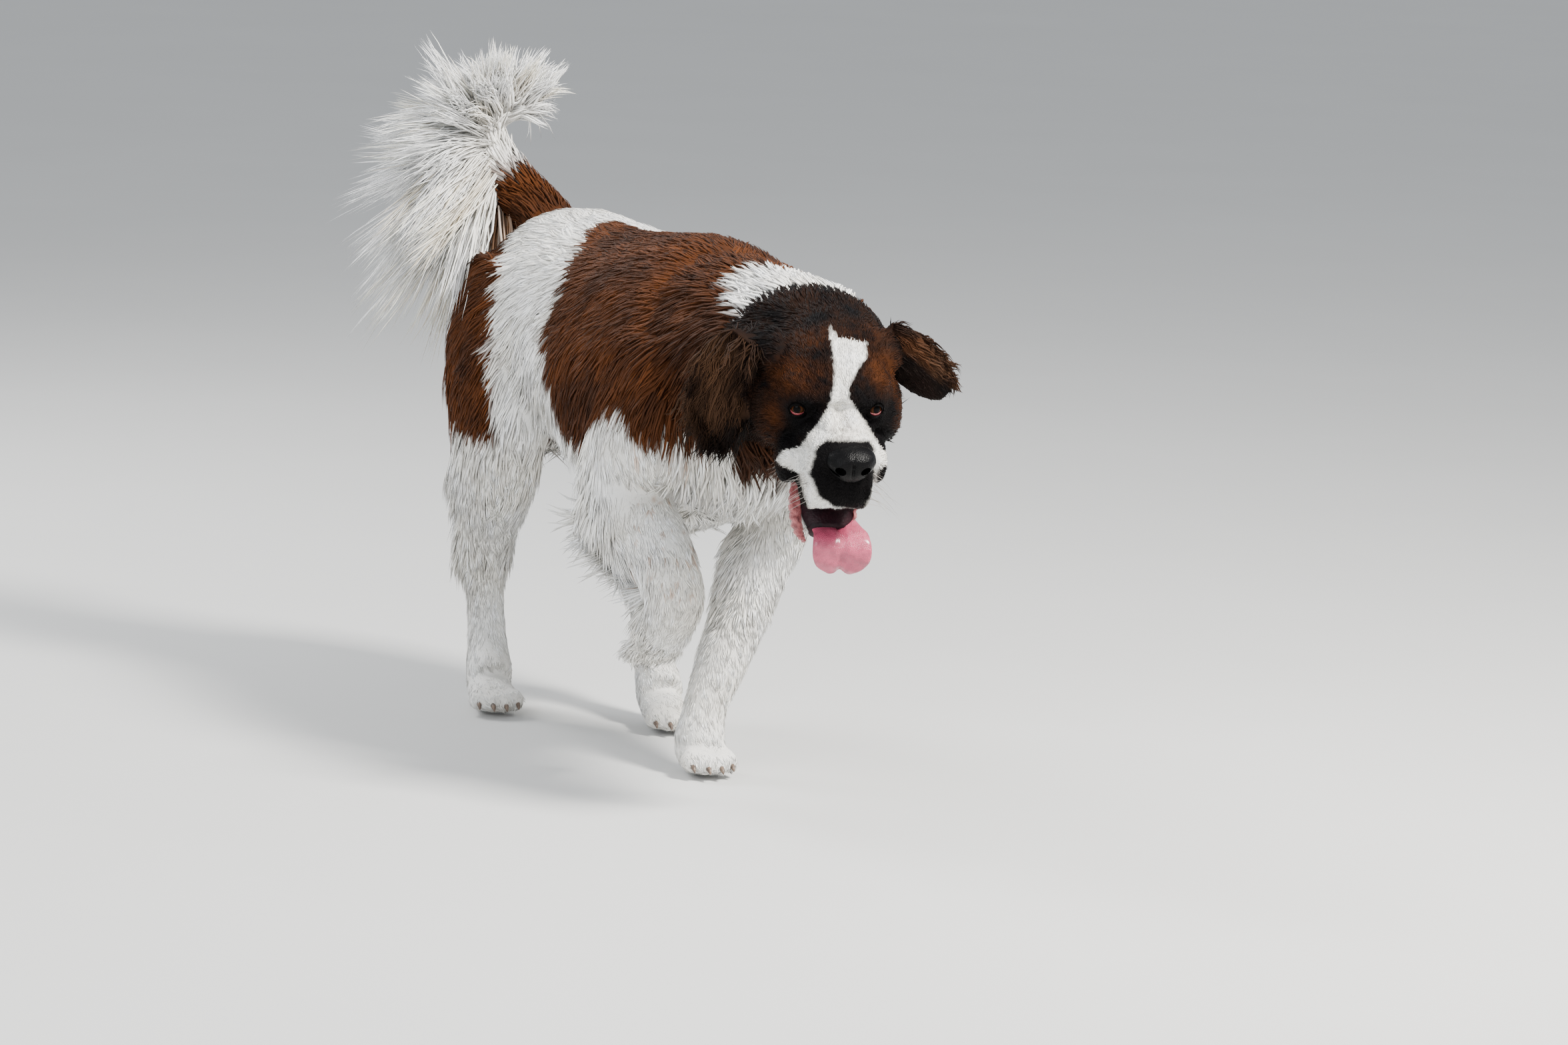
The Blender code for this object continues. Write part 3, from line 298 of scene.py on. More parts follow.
# The groom: guide hairs over the body. Side (0 for both), left, forward, up, then the way the
# hair lies as (outwards, forward, up), its length and how far it lifts, in degrees
GUIDES = [
    (0, 0.02, -0.33, 0.75, (0.1, -1.0, 0.0), 0.050, 12),
    (0, 0.02, -0.10, 0.75, (0.1, -1.0, 0.0), 0.046, 11),
    (0, 0.02, 0.12, 0.76, (0.2, -1.0, -0.1), 0.046, 13),
    (0, 0.03, 0.28, 0.76, (0.3, -1.0, -0.1), 0.050, 15),
    (0, 0.14, -0.25, 0.67, (0.0, -0.8, -0.6), 0.052, 14),
    (0, 0.15, 0.00, 0.66, (0.0, -0.9, -0.5), 0.056, 14),
    (0, 0.16, 0.20, 0.66, (0.0, -0.8, -0.6), 0.056, 15),
    (0, 0.17, -0.05, 0.55, (0.0, -0.7, -0.8), 0.066, 15),
    (0, 0.17, 0.15, 0.55, (0.0, -0.6, -0.8), 0.066, 16),
    (0, 0.13, 0.00, 0.45, (0.0, -0.45, -0.9), 0.076, 18),
    (0, 0.11, 0.16, 0.42, (0.0, -0.4, -0.95), 0.078, 20),
    (0, 0.02, -0.05, 0.43, (0.0, -0.5, -0.8), 0.064, 24),
    (0, 0.02, 0.18, 0.38, (0.0, -0.5, -0.9), 0.070, 24),
    (0, 0.02, 0.44, 0.50, (0.0, -0.1, -1.0), 0.080, 22),
    (0, 0.08, 0.38, 0.46, (0.1, -0.2, -1.0), 0.078, 20),
    (0, 0.15, 0.33, 0.55, (0.0, -0.4, -0.9), 0.050, 14),
    (0, 0.03, 0.46, 0.74, (0.3, -1.0, -0.1), 0.052, 20),
    (0, 0.11, 0.42, 0.68, (0.0, -0.8, -0.6), 0.062, 18),
    (0, 0.13, 0.45, 0.60, (0.0, -0.5, -0.9), 0.072, 20),
    (0, 0.09, 0.50, 0.52, (0.0, -0.3, -1.0), 0.085, 22),
    (0, 0.02, 0.50, 0.50, (0.0, -0.2, -1.0), 0.085, 22),
    (0, 0.16, -0.26, 0.58, (0.0, -0.55, -0.8), 0.056, 14),
    (0, 0.17, -0.22, 0.48, (0.0, -0.4, -0.9), 0.056, 15),
    (0, 0.06, -0.43, 0.62, (0.1, -0.5, -0.9), 0.066, 20),
    (0, 0.12, -0.39, 0.52, (0.1, -0.4, -1.0), 0.085, 24),
    (0, 0.12, -0.35, 0.41, (0.1, -0.5, -0.9), 0.092, 30),
    (0, 0.06, -0.30, 0.50, (0.0, -0.3, -1.0), 0.060, 20),
    (0, 0.00, -0.44, 0.72, (0.1, -0.9, 0.2), 0.060, 16),
    (0, 0.13, -0.17, 0.38, (0.0, -0.2, -1.0), 0.044, 12),
    (0, 0.115, -0.37, 0.28, (0.0, -0.45, -0.9), 0.070, 28),
    (0, 0.115, -0.27, 0.28, (0.0, -0.1, -1.0), 0.026, 9),
    (0, 0.110, -0.34, 0.15, (0.0, 0.1, -1.0), 0.020, 9),
    (0, 0.115, -0.25, 0.04, (0.0, 0.8, -0.5), 0.013, 8),
    (1, 0.10, -0.23, 0.28, (0.0, -0.45, -0.9), 0.070, 28),
    (1, 0.10, -0.14, 0.28, (0.0, 0.0, -1.0), 0.026, 9),
    (1, 0.085, -0.15, 0.13, (0.0, 0.3, -1.0), 0.020, 9),
    (1, 0.07, -0.04, 0.04, (0.0, 0.8, -0.5), 0.013, 8),
    (1, 0.12, 0.29, 0.42, (0.0, -0.2, -1.0), 0.036, 12),
    (1, 0.12, 0.17, 0.40, (0.0, -0.7, -0.8), 0.075, 24),
    (1, 0.09, 0.19, 0.30, (0.0, -0.6, -0.9), 0.058, 22),
    (1, 0.09, 0.28, 0.30, (0.0, -0.1, -1.0), 0.024, 9),
    (1, 0.04, 0.22, 0.20, (0.0, -0.4, -1.0), 0.036, 16),
    (1, 0.14, 0.27, 0.38, (0.0, -0.1, -1.0), 0.026, 9),
    (1, 0.06, 0.30, 0.38, (0.0, -0.1, -1.0), 0.026, 9),
    (1, 0.02, 0.30, 0.16, (0.0, 0.0, -1.0), 0.018, 8),
    (1, -0.01, 0.27, 0.10, (0.0, 0.1, -1.0), 0.020, 9),
    (1, -0.02, 0.32, 0.04, (0.0, 0.8, -0.5), 0.013, 8),
    (-1, 0.17, 0.34, 0.49, (0.0, 0.2, -1.0), 0.032, 11),
    (-1, 0.13, 0.38, 0.44, (0.0, 0.5, -0.8), 0.024, 9),
    (-1, 0.18, 0.34, 0.42, (0.0, 0.4, -0.9), 0.024, 9),
    (-1, 0.10, 0.36, 0.40, (0.0, 0.6, -0.7), 0.024, 9),
    (-1, 0.18, 0.38, 0.36, (0.0, 0.7, -0.6), 0.020, 9),
    (-1, 0.10, 0.40, 0.34, (0.0, 0.8, -0.5), 0.020, 9),
    (-1, 0.15, 0.23, 0.45, (0.25, -0.9, -0.6), 0.100, 26),
    (-1, 0.15, 0.26, 0.39, (0.25, -0.9, -0.7), 0.100, 28),
    (-1, 0.14, 0.33, 0.31, (0.2, -0.7, -0.8), 0.088, 28),
    (-1, 0.14, 0.41, 0.38, (0.0, 0.8, -0.5), 0.020, 9),
    (-1, 0.14, 0.39, 0.29, (0.2, -0.5, -0.9), 0.076, 28),
    (-1, 0.14, 0.48, 0.31, (0.0, 0.2, -1.0), 0.020, 9),
    (-1, 0.14, 0.46, 0.25, (0.0, -0.4, -0.9), 0.016, 9),
    (-1, 0.13, 0.38, 0.22, (0.0, -0.8, -0.5), 0.024, 14),
]
GUIDES_READ = 5
# How far the hair's way strays over wide swirls, from wisp to wisp and from tuft to tuft
SWIRL = 0.26
WISP_TURN = 0.13
TUFT_TURN = 0.06

# The plume: where on the tail's bone it starts, its hairs' angles from the dog's right upwards at
# the start and at the tip, their lengths from start to tip, and in how many wisps they hang
PLUME_START = 0.28
PLUME_ANGLES = (-80.0, 136.0)
PLUME_LENGTHS = (0.335, 0.245, 0.170, 0.115, 0.082)
PLUME_WISPS = 230
# How far a hair sags, as a share of its length, and how far it may pass the solids' box
PLUME_SAG = 0.14
PLUME_ROOM = 0.012

# The seed of all random draws, the floor's height and how far the coat stays above it
SEED = 11
FLOOR = 0.0
FLOOR_GAP = 0.0006

# What one operator leaves for the next: the skin, its search trees and the hair's material
made = {}


class DogSizes(bpy.types.PropertyGroup):
    """Sizes that change how fine the dog is made."""

    body_voxel: FloatProperty(
        name="Body detail", description="Grain of the body's skin", default=0.0068, unit="LENGTH"
    )
    head_voxel: FloatProperty(
        name="Head detail", description="Grain of the head's skin", default=0.0030, unit="LENGTH"
    )
    body_tufts: IntProperty(
        name="Body tufts", description="Tufts a square metre on the trunk", default=30500
    )
    leg_tufts: IntProperty(
        name="Leg tufts", description="Tufts a square metre on the legs", default=60000
    )
    head_tufts: IntProperty(
        name="Head tufts", description="Tufts a square metre on the face", default=170000
    )
    ear_tufts: IntProperty(
        name="Ear tufts", description="Tufts a square metre on the ears", default=88000
    )
    plume_tufts: IntProperty(
        name="Plume hairs", description="Long fine locks on the tail", default=7600
    )
    tuft_width: FloatProperty(
        name="Tuft width", description="Width of a tuft on the trunk", default=0.0042, unit="LENGTH"
    )


class DogColours(bpy.types.PropertyGroup):
    """Pigments of the coat and of the bare skin."""

    white: FloatVectorProperty(
        name="White", description="The white coat", default=(0.86, 0.85, 0.82), subtype="COLOR"
    )
    cream: FloatVectorProperty(
        name="Cream", description="Shaded white hair", default=(0.66, 0.58, 0.44), subtype="COLOR"
    )
    tan: FloatVectorProperty(
        name="Tan", description="Pale red hair under the tail", default=(0.38, 0.17, 0.065), subtype="COLOR"
    )
    mahogany: FloatVectorProperty(
        name="Mahogany", description="The red patches", default=(0.084, 0.026, 0.0075), subtype="COLOR"
    )
    brown: FloatVectorProperty(
        name="Brown", description="Dark brown of the head", default=(0.014, 0.0065, 0.004), subtype="COLOR"
    )
    # The ears' lighter brown waves, partly a painted highlight of light falling on the waves.
    taupe_and_sheen: FloatVectorProperty(
        name="Taupe", description="Faded hair of the ears", default=(0.105, 0.052, 0.027), subtype="COLOR"
    )
    black: FloatVectorProperty(
        name="Black", description="The mask and leather", default=(0.0035, 0.0030, 0.0032), subtype="COLOR"
    )
    tongue: FloatVectorProperty(
        name="Tongue", description="The tongue's flesh", default=(0.50, 0.075, 0.140), subtype="COLOR"
    )


def sizes():
    """The sizes that the panel shows."""
    return bpy.context.scene.dog_sizes


def colours(name):
    """One pigment as an array."""
    return np.array(getattr(bpy.context.scene.dog_colours, name))


# Frames and places.


def head_axes():
    """The head's left, above and ahead as columns, in X, Y, Z."""
    turn, drop = math.radians(HEAD_TURN_DEG), math.radians(HEAD_DROP_DEG)
    ahead = Vector((-math.sin(turn) * math.cos(drop), -math.cos(turn) * math.cos(drop), -math.sin(drop)))
    left = Vector((math.cos(turn), -math.sin(turn), 0))
    return Matrix((left, ahead.cross(left), ahead)).transposed()


AXES = head_axes()
HEAD_AT = Vector((HEAD_PLACE[0], -HEAD_PLACE[1], HEAD_PLACE[2]))
HEAD_LEFT = AXES @ Vector((1, 0, 0))
SIDEWAYS = Vector((1, 0, 0))


def find_shift():
    """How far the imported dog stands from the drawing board's origin, read from its eyes."""
    corners = [corner for name in ("eye_left", "eye_right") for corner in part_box(name)]
    middle = sum(corners, Vector()) / 4
    drawn = HEAD_AT + AXES @ Vector((0, EYE_PLACE[1], EYE_PLACE[2]))
    return middle - drawn


SHIFT = find_shift()


def place(left, forward, up):
    """A point of the dog in X, Y, Z."""
    return Vector((left, -forward, up)) + SHIFT


def in_head(left, up, forward):
    """A point given in the head's own axes, in X, Y, Z."""
    return HEAD_AT + SHIFT + AXES @ Vector((left, up, forward))


def head_matrix(centre):
    """The head's axes as a matrix that stands at a point."""
    turned = AXES.to_4x4()
    turned.translation = centre
    return turned


def dog_places(points):
    """Left, forward, up of many X, Y, Z points."""
    moved = points - np.array(SHIFT)
    return np.stack([moved[:, 0], -moved[:, 1], moved[:, 2]], axis=1)


def head_places(points):
    """Left, up, forward in the head's axes of many X, Y, Z points."""
    return (points - np.array(HEAD_AT + SHIFT)) @ np.array(AXES)


def unit(rows):
    """Many vectors at length one."""
    return rows / np.maximum(np.linalg.norm(rows, axis=1, keepdims=True), 1e-9)


# Modelling tools.


def new_object(name, mesh):
    """Wraps a mesh in an object of that name."""
    obj = bpy.data.objects.new(name, mesh)
    bpy.context.scene.collection.objects.link(obj)
    return obj


def object_from(build, name):
    """Turns a bmesh into an object with its faces outwards."""
    bmesh.ops.recalc_face_normals(build, faces=build.faces)
    mesh = bpy.data.meshes.new(name)
    build.to_mesh(mesh)
    build.free()
    return new_object(name, mesh)


def smooth_rows(rows, steps):
    """More rows on a smooth curve through the given ones."""
    table = np.array(rows, float)
    padded = np.vstack([2 * table[0] - table[1], table, 2 * table[-1] - table[-2]])
    finer = []
    for index in range(len(table) - 1):
        before, start, end, after = padded[index:index + 4]
        for step in range(steps):
            t = step / steps
            finer.append(
                0.5 * (2 * start + (end - before) * t + (2 * before - 5 * start + 4 * end - after) * t * t
                       + (3 * start - before - 3 * end + after) * t ** 3)
            )
    finer.append(table[-1])
    return [tuple(row) for row in finer]


def loft(name, sections, across, sides=28):
    """A closed tube through (centre, half across, half other) sections."""
    build = bmesh.new()
    centres = [section[0] for section in sections]
    rings = []
    for index, (centre, half_across, half_other) in enumerate(sections):
        along = (centres[min(index + 1, len(centres) - 1)] - centres[max(index - 1, 0)]).normalized()
        side = (across - across.dot(along) * along).normalized()
        other = along.cross(side)
        turned = Matrix((side * half_across, other * half_other, along)).transposed().to_4x4()
        turned.translation = centre
        corners = bmesh.ops.create_circle(build, segments=sides, radius=1.0, matrix=turned)["verts"]
        rings.append({edge for corner in corners for edge in corner.link_edges})
    for first, second in zip(rings, rings[1:]):
        bmesh.ops.bridge_loops(build, edges=list(first | second))
    for end in (rings[0], rings[-1]):
        bmesh.ops.edgeloop_fill(build, edges=list(end))
    return object_from(build, name)


def ellipsoid(name, centre, halves, turn, rings=20, segments=32):
    """A ball stretched to three half sizes along a frame's axes."""
    build = bmesh.new()
    shape = Matrix.Translation(centre) @ turn.to_3x3().to_4x4() @ Matrix.Diagonal((*halves, 1))
    bmesh.ops.create_uvsphere(build, u_segments=segments, v_segments=rings, radius=1, matrix=shape)
    return object_from(build, name)


def applied(obj):
    """Turns an object's modifiers into its mesh."""
    graph = bpy.context.evaluated_depsgraph_get()
    mesh = bpy.data.meshes.new_from_object(obj.evaluated_get(graph))
    obj.modifiers.clear()
    obj.data = mesh
    return obj


def boolean(obj, other, operation):
    """Cuts, joins or trims one mesh with another."""
    modifier = obj.modifiers.new(operation.lower(), "BOOLEAN")
    modifier.operation = operation
    modifier.solver = "MANIFOLD"
    modifier.object = other
    return applied(obj)


def joined(name, pieces):
    """One object of many."""
    bpy.ops.object.select_all(action="DESELECT")
    for piece in pieces:
        piece.select_set(True)
    bpy.context.view_layer.objects.active = pieces[0]
    bpy.ops.object.join()
    pieces[0].name = name
    return pieces[0]


def melted(name, pieces, voxel, smoothing):
    """Melts overlapping closed pieces into one smooth skin."""
    whole = joined(name, pieces)
    remesh = whole.modifiers.new("melt", "REMESH")
    remesh.mode = "VOXEL"
    remesh.voxel_size = voxel
    smooth = whole.modifiers.new("smooth", "SMOOTH")
    smooth.factor = 0.6
    smooth.iterations = smoothing
    return applied(whole)


def removed(*objects):
    """Takes helper objects out of the file."""
    for obj in objects:
        bpy.data.objects.remove(obj)


def shaded_smooth(obj):
    """Shades every face smooth."""
    obj.data.polygons.foreach_set("use_smooth", np.ones(len(obj.data.polygons), bool))
    return obj


def covered(obj, *materials):
    """Gives an object these materials and no others."""
    obj.data.materials.clear()
    for material in materials:
        obj.data.materials.append(material)


def ridden(obj, slot, *nodes):
    """Sets a finished piece on the dog in place of its solids; the slot is not used."""
    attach(obj, "root")
    if nodes:
        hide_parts(*nodes)
    return obj


def tree_of(obj):
    """A search tree over a mesh."""
    corners = [vertex.co for vertex in obj.data.vertices]
    faces = [polygon.vertices for polygon in obj.data.polygons]
    return BVHTree.FromPolygons(corners, faces)


def points_of(obj):
    """A mesh's corners as an array."""
    flat = np.zeros(len(obj.data.vertices) * 3)
    obj.data.vertices.foreach_get("co", flat)
    return flat.reshape(-1, 3)


# Markings.


def bumps(points, scale, seed):
    """Smooth noise from -1 to 1 at many points."""
    offset = Vector((seed * 7.3, seed * 3.1, seed * 1.7))
    return np.array([noise.noise(Vector(point) * scale + offset) for point in points])


def step(value, softness):
    """0 below, 1 above, with a soft edge."""
    return np.clip(value / softness * 0.5 + 0.5, 0, 1)


def mixed(first, second, share):
    """Blends rows of colours."""
    return first + (second - first) * share[:, None]


def body_colours(points):
    """The coat's colour on body, legs and tail root."""
    dog = dog_places(points)
    side, forward, up = dog.T
    broad = bumps(points, 16, 1)
    fine = bumps(points, 70, 2)
    wander = broad * 0.012 + fine * 0.006
    right = side < 0
    band_front = np.interp(
        up, (0.44, 0.47, 0.52, 0.55, 0.59, 0.66, 0.72, 0.744, 0.765),
        (0.07, 0.05, 0.033, 0.008, -0.02, -0.01, -0.06, -0.10, -0.17),
    )
    band_front = band_front + ~right * np.interp(up, (0.60, 0.76), (0.03, 0.16))
    band_rear = np.interp(
        up, (0.40, 0.43, 0.52, 0.59, 0.67, 0.73), (-0.18, -0.18, -0.193, -0.204, -0.225, -0.33)
    )
    hem = np.interp(
        forward, (0.0, 0.14, 0.22, 0.30, 0.345, 0.39, 0.44, 0.47, 0.52),
        (0.462, 0.466, 0.48, 0.52, 0.525, 0.495, 0.495, 0.545, 0.58),
    )
    mantle = np.minimum(forward - band_front, (up - hem)) + wander
    rear = np.minimum(band_rear - forward, up - 0.415) + wander
    nape_half = np.where(right, 0.082, 0.100)
    nape = 1 - np.sqrt(((side + 0.002) / nape_half) ** 2 + ((forward - 0.505) / 0.096) ** 2)
    nape = np.where(up > 0.668, nape * 0.08, -1) + wander
    red = np.maximum(step(mantle, 0.008), step(rear, 0.008)) * (1 - step(nape, 0.006))
    share, away = tail_share(points)
    red = red * (1 - step(share - 0.37, 0.05) * (away < 0.10) * (up > 0.70))
    ruff = head_places(points)
    across, height = face_plane(ruff)
    out = np.abs(across)
    behind = step(0.03 - ruff[:, 2], 0.03) * step(out - 0.062, 0.012) * step(0.240 - out, 0.03)
    cheek_hem = np.interp(out, (0.09, 0.13, 0.15, 0.20), (-0.105, -0.095, -0.045, -0.035))
    cheek = behind * step(height - cheek_hem + wander, 0.010) * (forward > 0.42) * (1 - step(nape, 0.006))
    red = np.maximum(red, cheek)
    tone = np.clip(0.5 + 0.55 * broad + 0.3 * fine, 0, 1) * (1 - 0.6 * cheek)
    coat = mixed(colours("brown")[None] * 1.8, colours("mahogany")[None] * 1.2, 0.20 + 0.80 * tone)
    dark = np.clip(bumps(points, 9, 5) * 1.6 - 0.1, 0, 0.5) * (forward > -0.1)
    coat = mixed(coat, colours("brown")[None] * 1.3, dark)
    shaded = np.clip(0.10 + 0.30 * bumps(points, 12, 3), 0, 1)
    white = mixed(colours("white")[None], colours("cream")[None], shaded)
    spots = (bumps(points, 95, 8) > 0.42) & (side < -0.10) & (forward > 0.36) & (up > 0.28)
    white = mixed(white, colours("tan")[None], spots * 0.5)
    return mixed(white, coat, red)


# The white blaze and the nose's dark mask on the face's plane: rows of up, from, to
BLAZE = (
    (0.108, -0.010, -0.009), (0.096, -0.010, 0.000), (0.089, -0.008, 0.040), (0.069, -0.004, 0.041),
    (0.044, -0.001, 0.026), (0.027, -0.002, 0.017), (0.010, -0.006, 0.018), (-0.008, -0.012, 0.032),
    (-0.022, -0.020, 0.043), (-0.040, -0.035, 0.054), (-0.057, -0.046, 0.068), (-0.063, -0.070, 0.077),
    (-0.077, -0.079, 0.075), (-0.085, -0.066, 0.063), (-0.095, -0.046, 0.060), (-0.118, -0.040, 0.059),
    (-0.145, -0.030, 0.054),
)
NOSE_MASK = (
    (-0.048, -0.012, 0.050), (-0.056, -0.024, 0.056), (-0.072, -0.028, 0.057), (-0.095, -0.033, 0.058),
    (-0.123, -0.020, 0.054), (-0.139, 0.001, 0.043),
)


def face_plane(head):
    """Across and up on the face, seen square on from ahead of it."""
    left, up, forward = head.T
    return 0.985 * left + 0.163 * forward + 0.059 * up, 0.8795 * up - 0.475 * forward + 0.0257 * left


def inside_bands(across, up, bands):
    """How far inside an outline of (up, from, to) bands each point lies."""
    table = np.array(bands)[::-1]
    low = np.interp(up, table[:, 0], table[:, 1])
    high = np.interp(up, table[:, 0], table[:, 2])
    within = np.minimum(across - low, high - across)
    return np.minimum(within, np.minimum(up - table[0, 0], table[-1, 0] - up) + 0.002)


def spot(across, up, centre, halves):
    """1 at the middle of a soft oval, fading out around it."""
    away = ((across - centre[0]) / halves[0]) ** 2 + ((up - centre[1]) / halves[1]) ** 2
    return np.exp(-0.9 * away ** 1.5)


def head_colours(points):
    """The mask, the blaze, the mahogany of the brows and cheeks, and black under the flews that is partly
    painted shade.
    """
    head = head_places(points)
    left, height, forward = head.T
    across, up = face_plane(head)
    broad, fine = bumps(points, 30, 4), bumps(points, 120, 6)
    across_w = across + 0.0022 * fine
    up_w = up + 0.0022 * broad
    red = np.zeros(len(points))
    for centre, halves in (
        ((-0.055, 0.036), (0.040, 0.030)), ((-0.086, -0.028), (0.017, 0.036)),
        ((0.064, 0.046), (0.028, 0.032)), ((0.093, -0.025), (0.012, 0.052)),
        ((-0.102, -0.080), (0.024, 0.032)),
    ):
        red = np.maximum(red, spot(across_w, up_w, centre, halves))
    for centre, halves in (((-0.030, 0.092), (0.030, 0.018)), ((0.040, 0.100), (0.030, 0.020))):
        red = np.maximum(red, 0.45 * spot(across_w, up_w, centre, halves))
    # Black of the mask; the last two spots, under the flews, are partly the black lip edge and partly painted
    # shade under the flews.
    black = np.zeros(len(points))
    for centre, halves in (
        ((-0.040, -0.016), (0.031, 0.037)), ((0.049, -0.012), (0.033, 0.038)),
        ((-0.062, -0.055), (0.020, 0.026)), ((0.070, -0.050), (0.020, 0.040)),
        ((-0.064, -0.104), (0.026, 0.026)), ((0.066, -0.098), (0.020, 0.024)),
    ):
        black = np.maximum(black, spot(across_w, up_w, centre, halves))
    red = red * np.clip(0.68 + 0.8 * broad + 0.6 * fine, 0.05, 1)
    dark = mixed(colours("black")[None], colours("brown")[None], np.clip(0.5 + broad + 0.5 * fine, 0, 1))
    coat = mixed(dark, colours("mahogany")[None] * 0.62, red)
    coat = mixed(coat, colours("black")[None], np.clip(black * 1.15, 0, 1))
    blaze = inside_bands(across_w, up_w, BLAZE)
    white = step(blaze, 0.0025)
    chin = np.interp(forward, (-0.060, -0.030, 0.0), (-0.105, -0.120, -0.136))
    under = step(chin - height + 0.004 * broad, 0.010) * (forward < 0.09)
    under = under * np.maximum(step(-0.100 - up, 0.010), step(forward + 0.030, 0.015))
    white = np.maximum(white, under)
    snow = mixed(colours("white")[None], colours("cream")[None], np.clip(0.15 + 0.3 * broad, 0, 1))
    coat = mixed(coat, snow, white)
    speckle = spot(across, up, (0.011, -0.034), (0.018, 0.012)) * np.clip(fine * 2.2 + 0.35, 0, 0.75)
    coat = mixed(coat, np.array([[0.16, 0.13, 0.12]]), speckle)
    nose = step(inside_bands(across_w, up_w, NOSE_MASK), 0.003) * (forward > 0.02)
    rim = np.zeros(len(points))
    mouth = (forward > -0.06) & (np.abs(left) < 0.065) & (height < -0.085) & (height > -0.18)
    for index in np.nonzero(mouth)[0]:
        rim[index] = made["mouth"].find_nearest(Vector(points[index]))[3]
    rim = step(0.0045 + 0.0015 * fine - rim, 0.002) * mouth
    return mixed(coat, colours("black")[None], np.maximum(nose, rim))


def ear_colours(points, which):
    """Lighter brown waves, partly a painted highlight of light on the waves, over dark ears, black along the
    lower edge and inside.
    """
    head = head_places(points)
    height = head[:, 1]
    broad, fine = bumps(points, 24, 7), bumps(points, 90, 9)
    # Where the waves are paler: lighter brown and partly a painted highlight, less towards the ear's top.
    pale = np.clip(0.55 + 0.9 * broad + 0.5 * fine, 0, 1) * np.interp(height, (0.02, 0.06), (1, 0.1))
    coat = mixed(colours("brown")[None], colours("taupe_and_sheen")[None], pale)
    if which == "right":
        inner = step(head[:, 0] + 0.114, 0.03)
        low = step(-0.060 - height, 0.05)
    else:
        inner = step(0.108 - head[:, 0], 0.03) * 0.8
        low = step(0.066 - (head[:, 0] - 0.074) * 0.76 - height, 0.008)
        coat = mixed(coat, colours("mahogany")[None], np.clip(0.2 + broad, 0, 0.6))
    return mixed(coat, colours("black")[None], np.clip(np.maximum(inner, low), 0, 1) * 0.93)


# Materials.


def new_material(name):
    """A material with its Principled shader, ready for nodes."""
    material = bpy.data.materials.new(name)
    material.use_nodes = True
    tree = material.node_tree
    return material, tree.nodes, tree.links, tree.nodes["Principled BSDF"]


def noise_node(nodes, links, vector, scale, detail=4.0, roughness=0.6):
    """A noise texture read at a vector."""
    texture = nodes.new("ShaderNodeTexNoise")
    texture.inputs["Scale"].default_value = scale
    texture.inputs["Detail"].default_value = detail
    texture.inputs["Roughness"].default_value = roughness
    links.new(vector, texture.inputs["Vector"])
    return texture


def multiplied(nodes, links, colour, factor, low, high):
    """A colour made darker and lighter by a 0 to 1 pattern."""
    ramp = nodes.new("ShaderNodeMapRange")
    ramp.inputs["To Min"].default_value = low
    ramp.inputs["To Max"].default_value = high
    links.new(factor, ramp.inputs["Value"])
    mix = nodes.new("ShaderNodeMix")
    mix.data_type = "RGBA"
    mix.blend_type = "MULTIPLY"
    mix.inputs["Factor"].default_value = 1.0
    links.new(colour, mix.inputs["A"])
    links.new(ramp.outputs["Result"], mix.inputs["B"])
    return mix.outputs["Result"]


def ramped(nodes, links, factor, stops):
    """A colour that changes along a 0 to 1 pattern, from (position, colour) stops."""
    ramp = nodes.new("ShaderNodeValToRGB")
    elements = ramp.color_ramp.elements
    elements.remove(elements[1])
    elements[0].position = stops[0][0]
    elements[0].color = (*stops[0][1], 1)
    for position, colour in stops[1:]:
        elements.new(position).color = (*colour, 1)
    links.new(factor, ramp.inputs["Fac"])
    return ramp.outputs["Color"]


def bumped(nodes, links, height, strength, distance, shader):
    """Raises a shader's surface by a pattern."""
    bump = nodes.new("ShaderNodeBump")
    bump.inputs["Strength"].default_value = strength
    bump.inputs["Distance"].default_value = distance
    links.new(height, bump.inputs["Height"])
    links.new(bump.outputs["Normal"], shader.inputs["Normal"])


def hair_material(name):
    """Hair: the painted pigment, streaked along each tuft as if by single hairs."""
    material, nodes, links, shader = new_material(name)
    paint = nodes.new("ShaderNodeAttribute")
    paint.attribute_name = "pigment"
    strand = nodes.new("ShaderNodeAttribute")
    strand.attribute_name = "strand"
    fine = noise_node(nodes, links, strand.outputs["Vector"], 1.0, 2.0)
    colour = multiplied(nodes, links, paint.outputs["Color"], fine.outputs["Fac"], 0.50, 1.50)
    links.new(colour, shader.inputs["Base Color"])
    shader.inputs["Roughness"].default_value = 0.55
    shader.inputs["Specular IOR Level"].default_value = 0.045
    bumped(nodes, links, fine.outputs["Fac"], 0.5, 0.0005, shader)
    return material


def skin_material(name):
    """Short close fur: the painted pigment with a fine hairy bump."""
    material, nodes, links, shader = new_material(name)
    paint = nodes.new("ShaderNodeAttribute")
    paint.attribute_name = "pigment"
    where = nodes.new("ShaderNodeTexCoord")
    stretch = nodes.new("ShaderNodeMapping")
    stretch.inputs["Scale"].default_value = (1.0, 0.45, 0.35)
    links.new(where.outputs["Object"], stretch.inputs["Vector"])
    strands = noise_node(nodes, links, stretch.outputs["Vector"], 620.0, 3.0)
    colour = multiplied(nodes, links, paint.outputs["Color"], strands.outputs["Fac"], 0.78, 1.12)
    links.new(colour, shader.inputs["Base Color"])
    shader.inputs["Roughness"].default_value = 0.7
    shader.inputs["Specular IOR Level"].default_value = 0.04
    bumped(nodes, links, strands.outputs["Fac"], 0.6, 0.0008, shader)
    return material


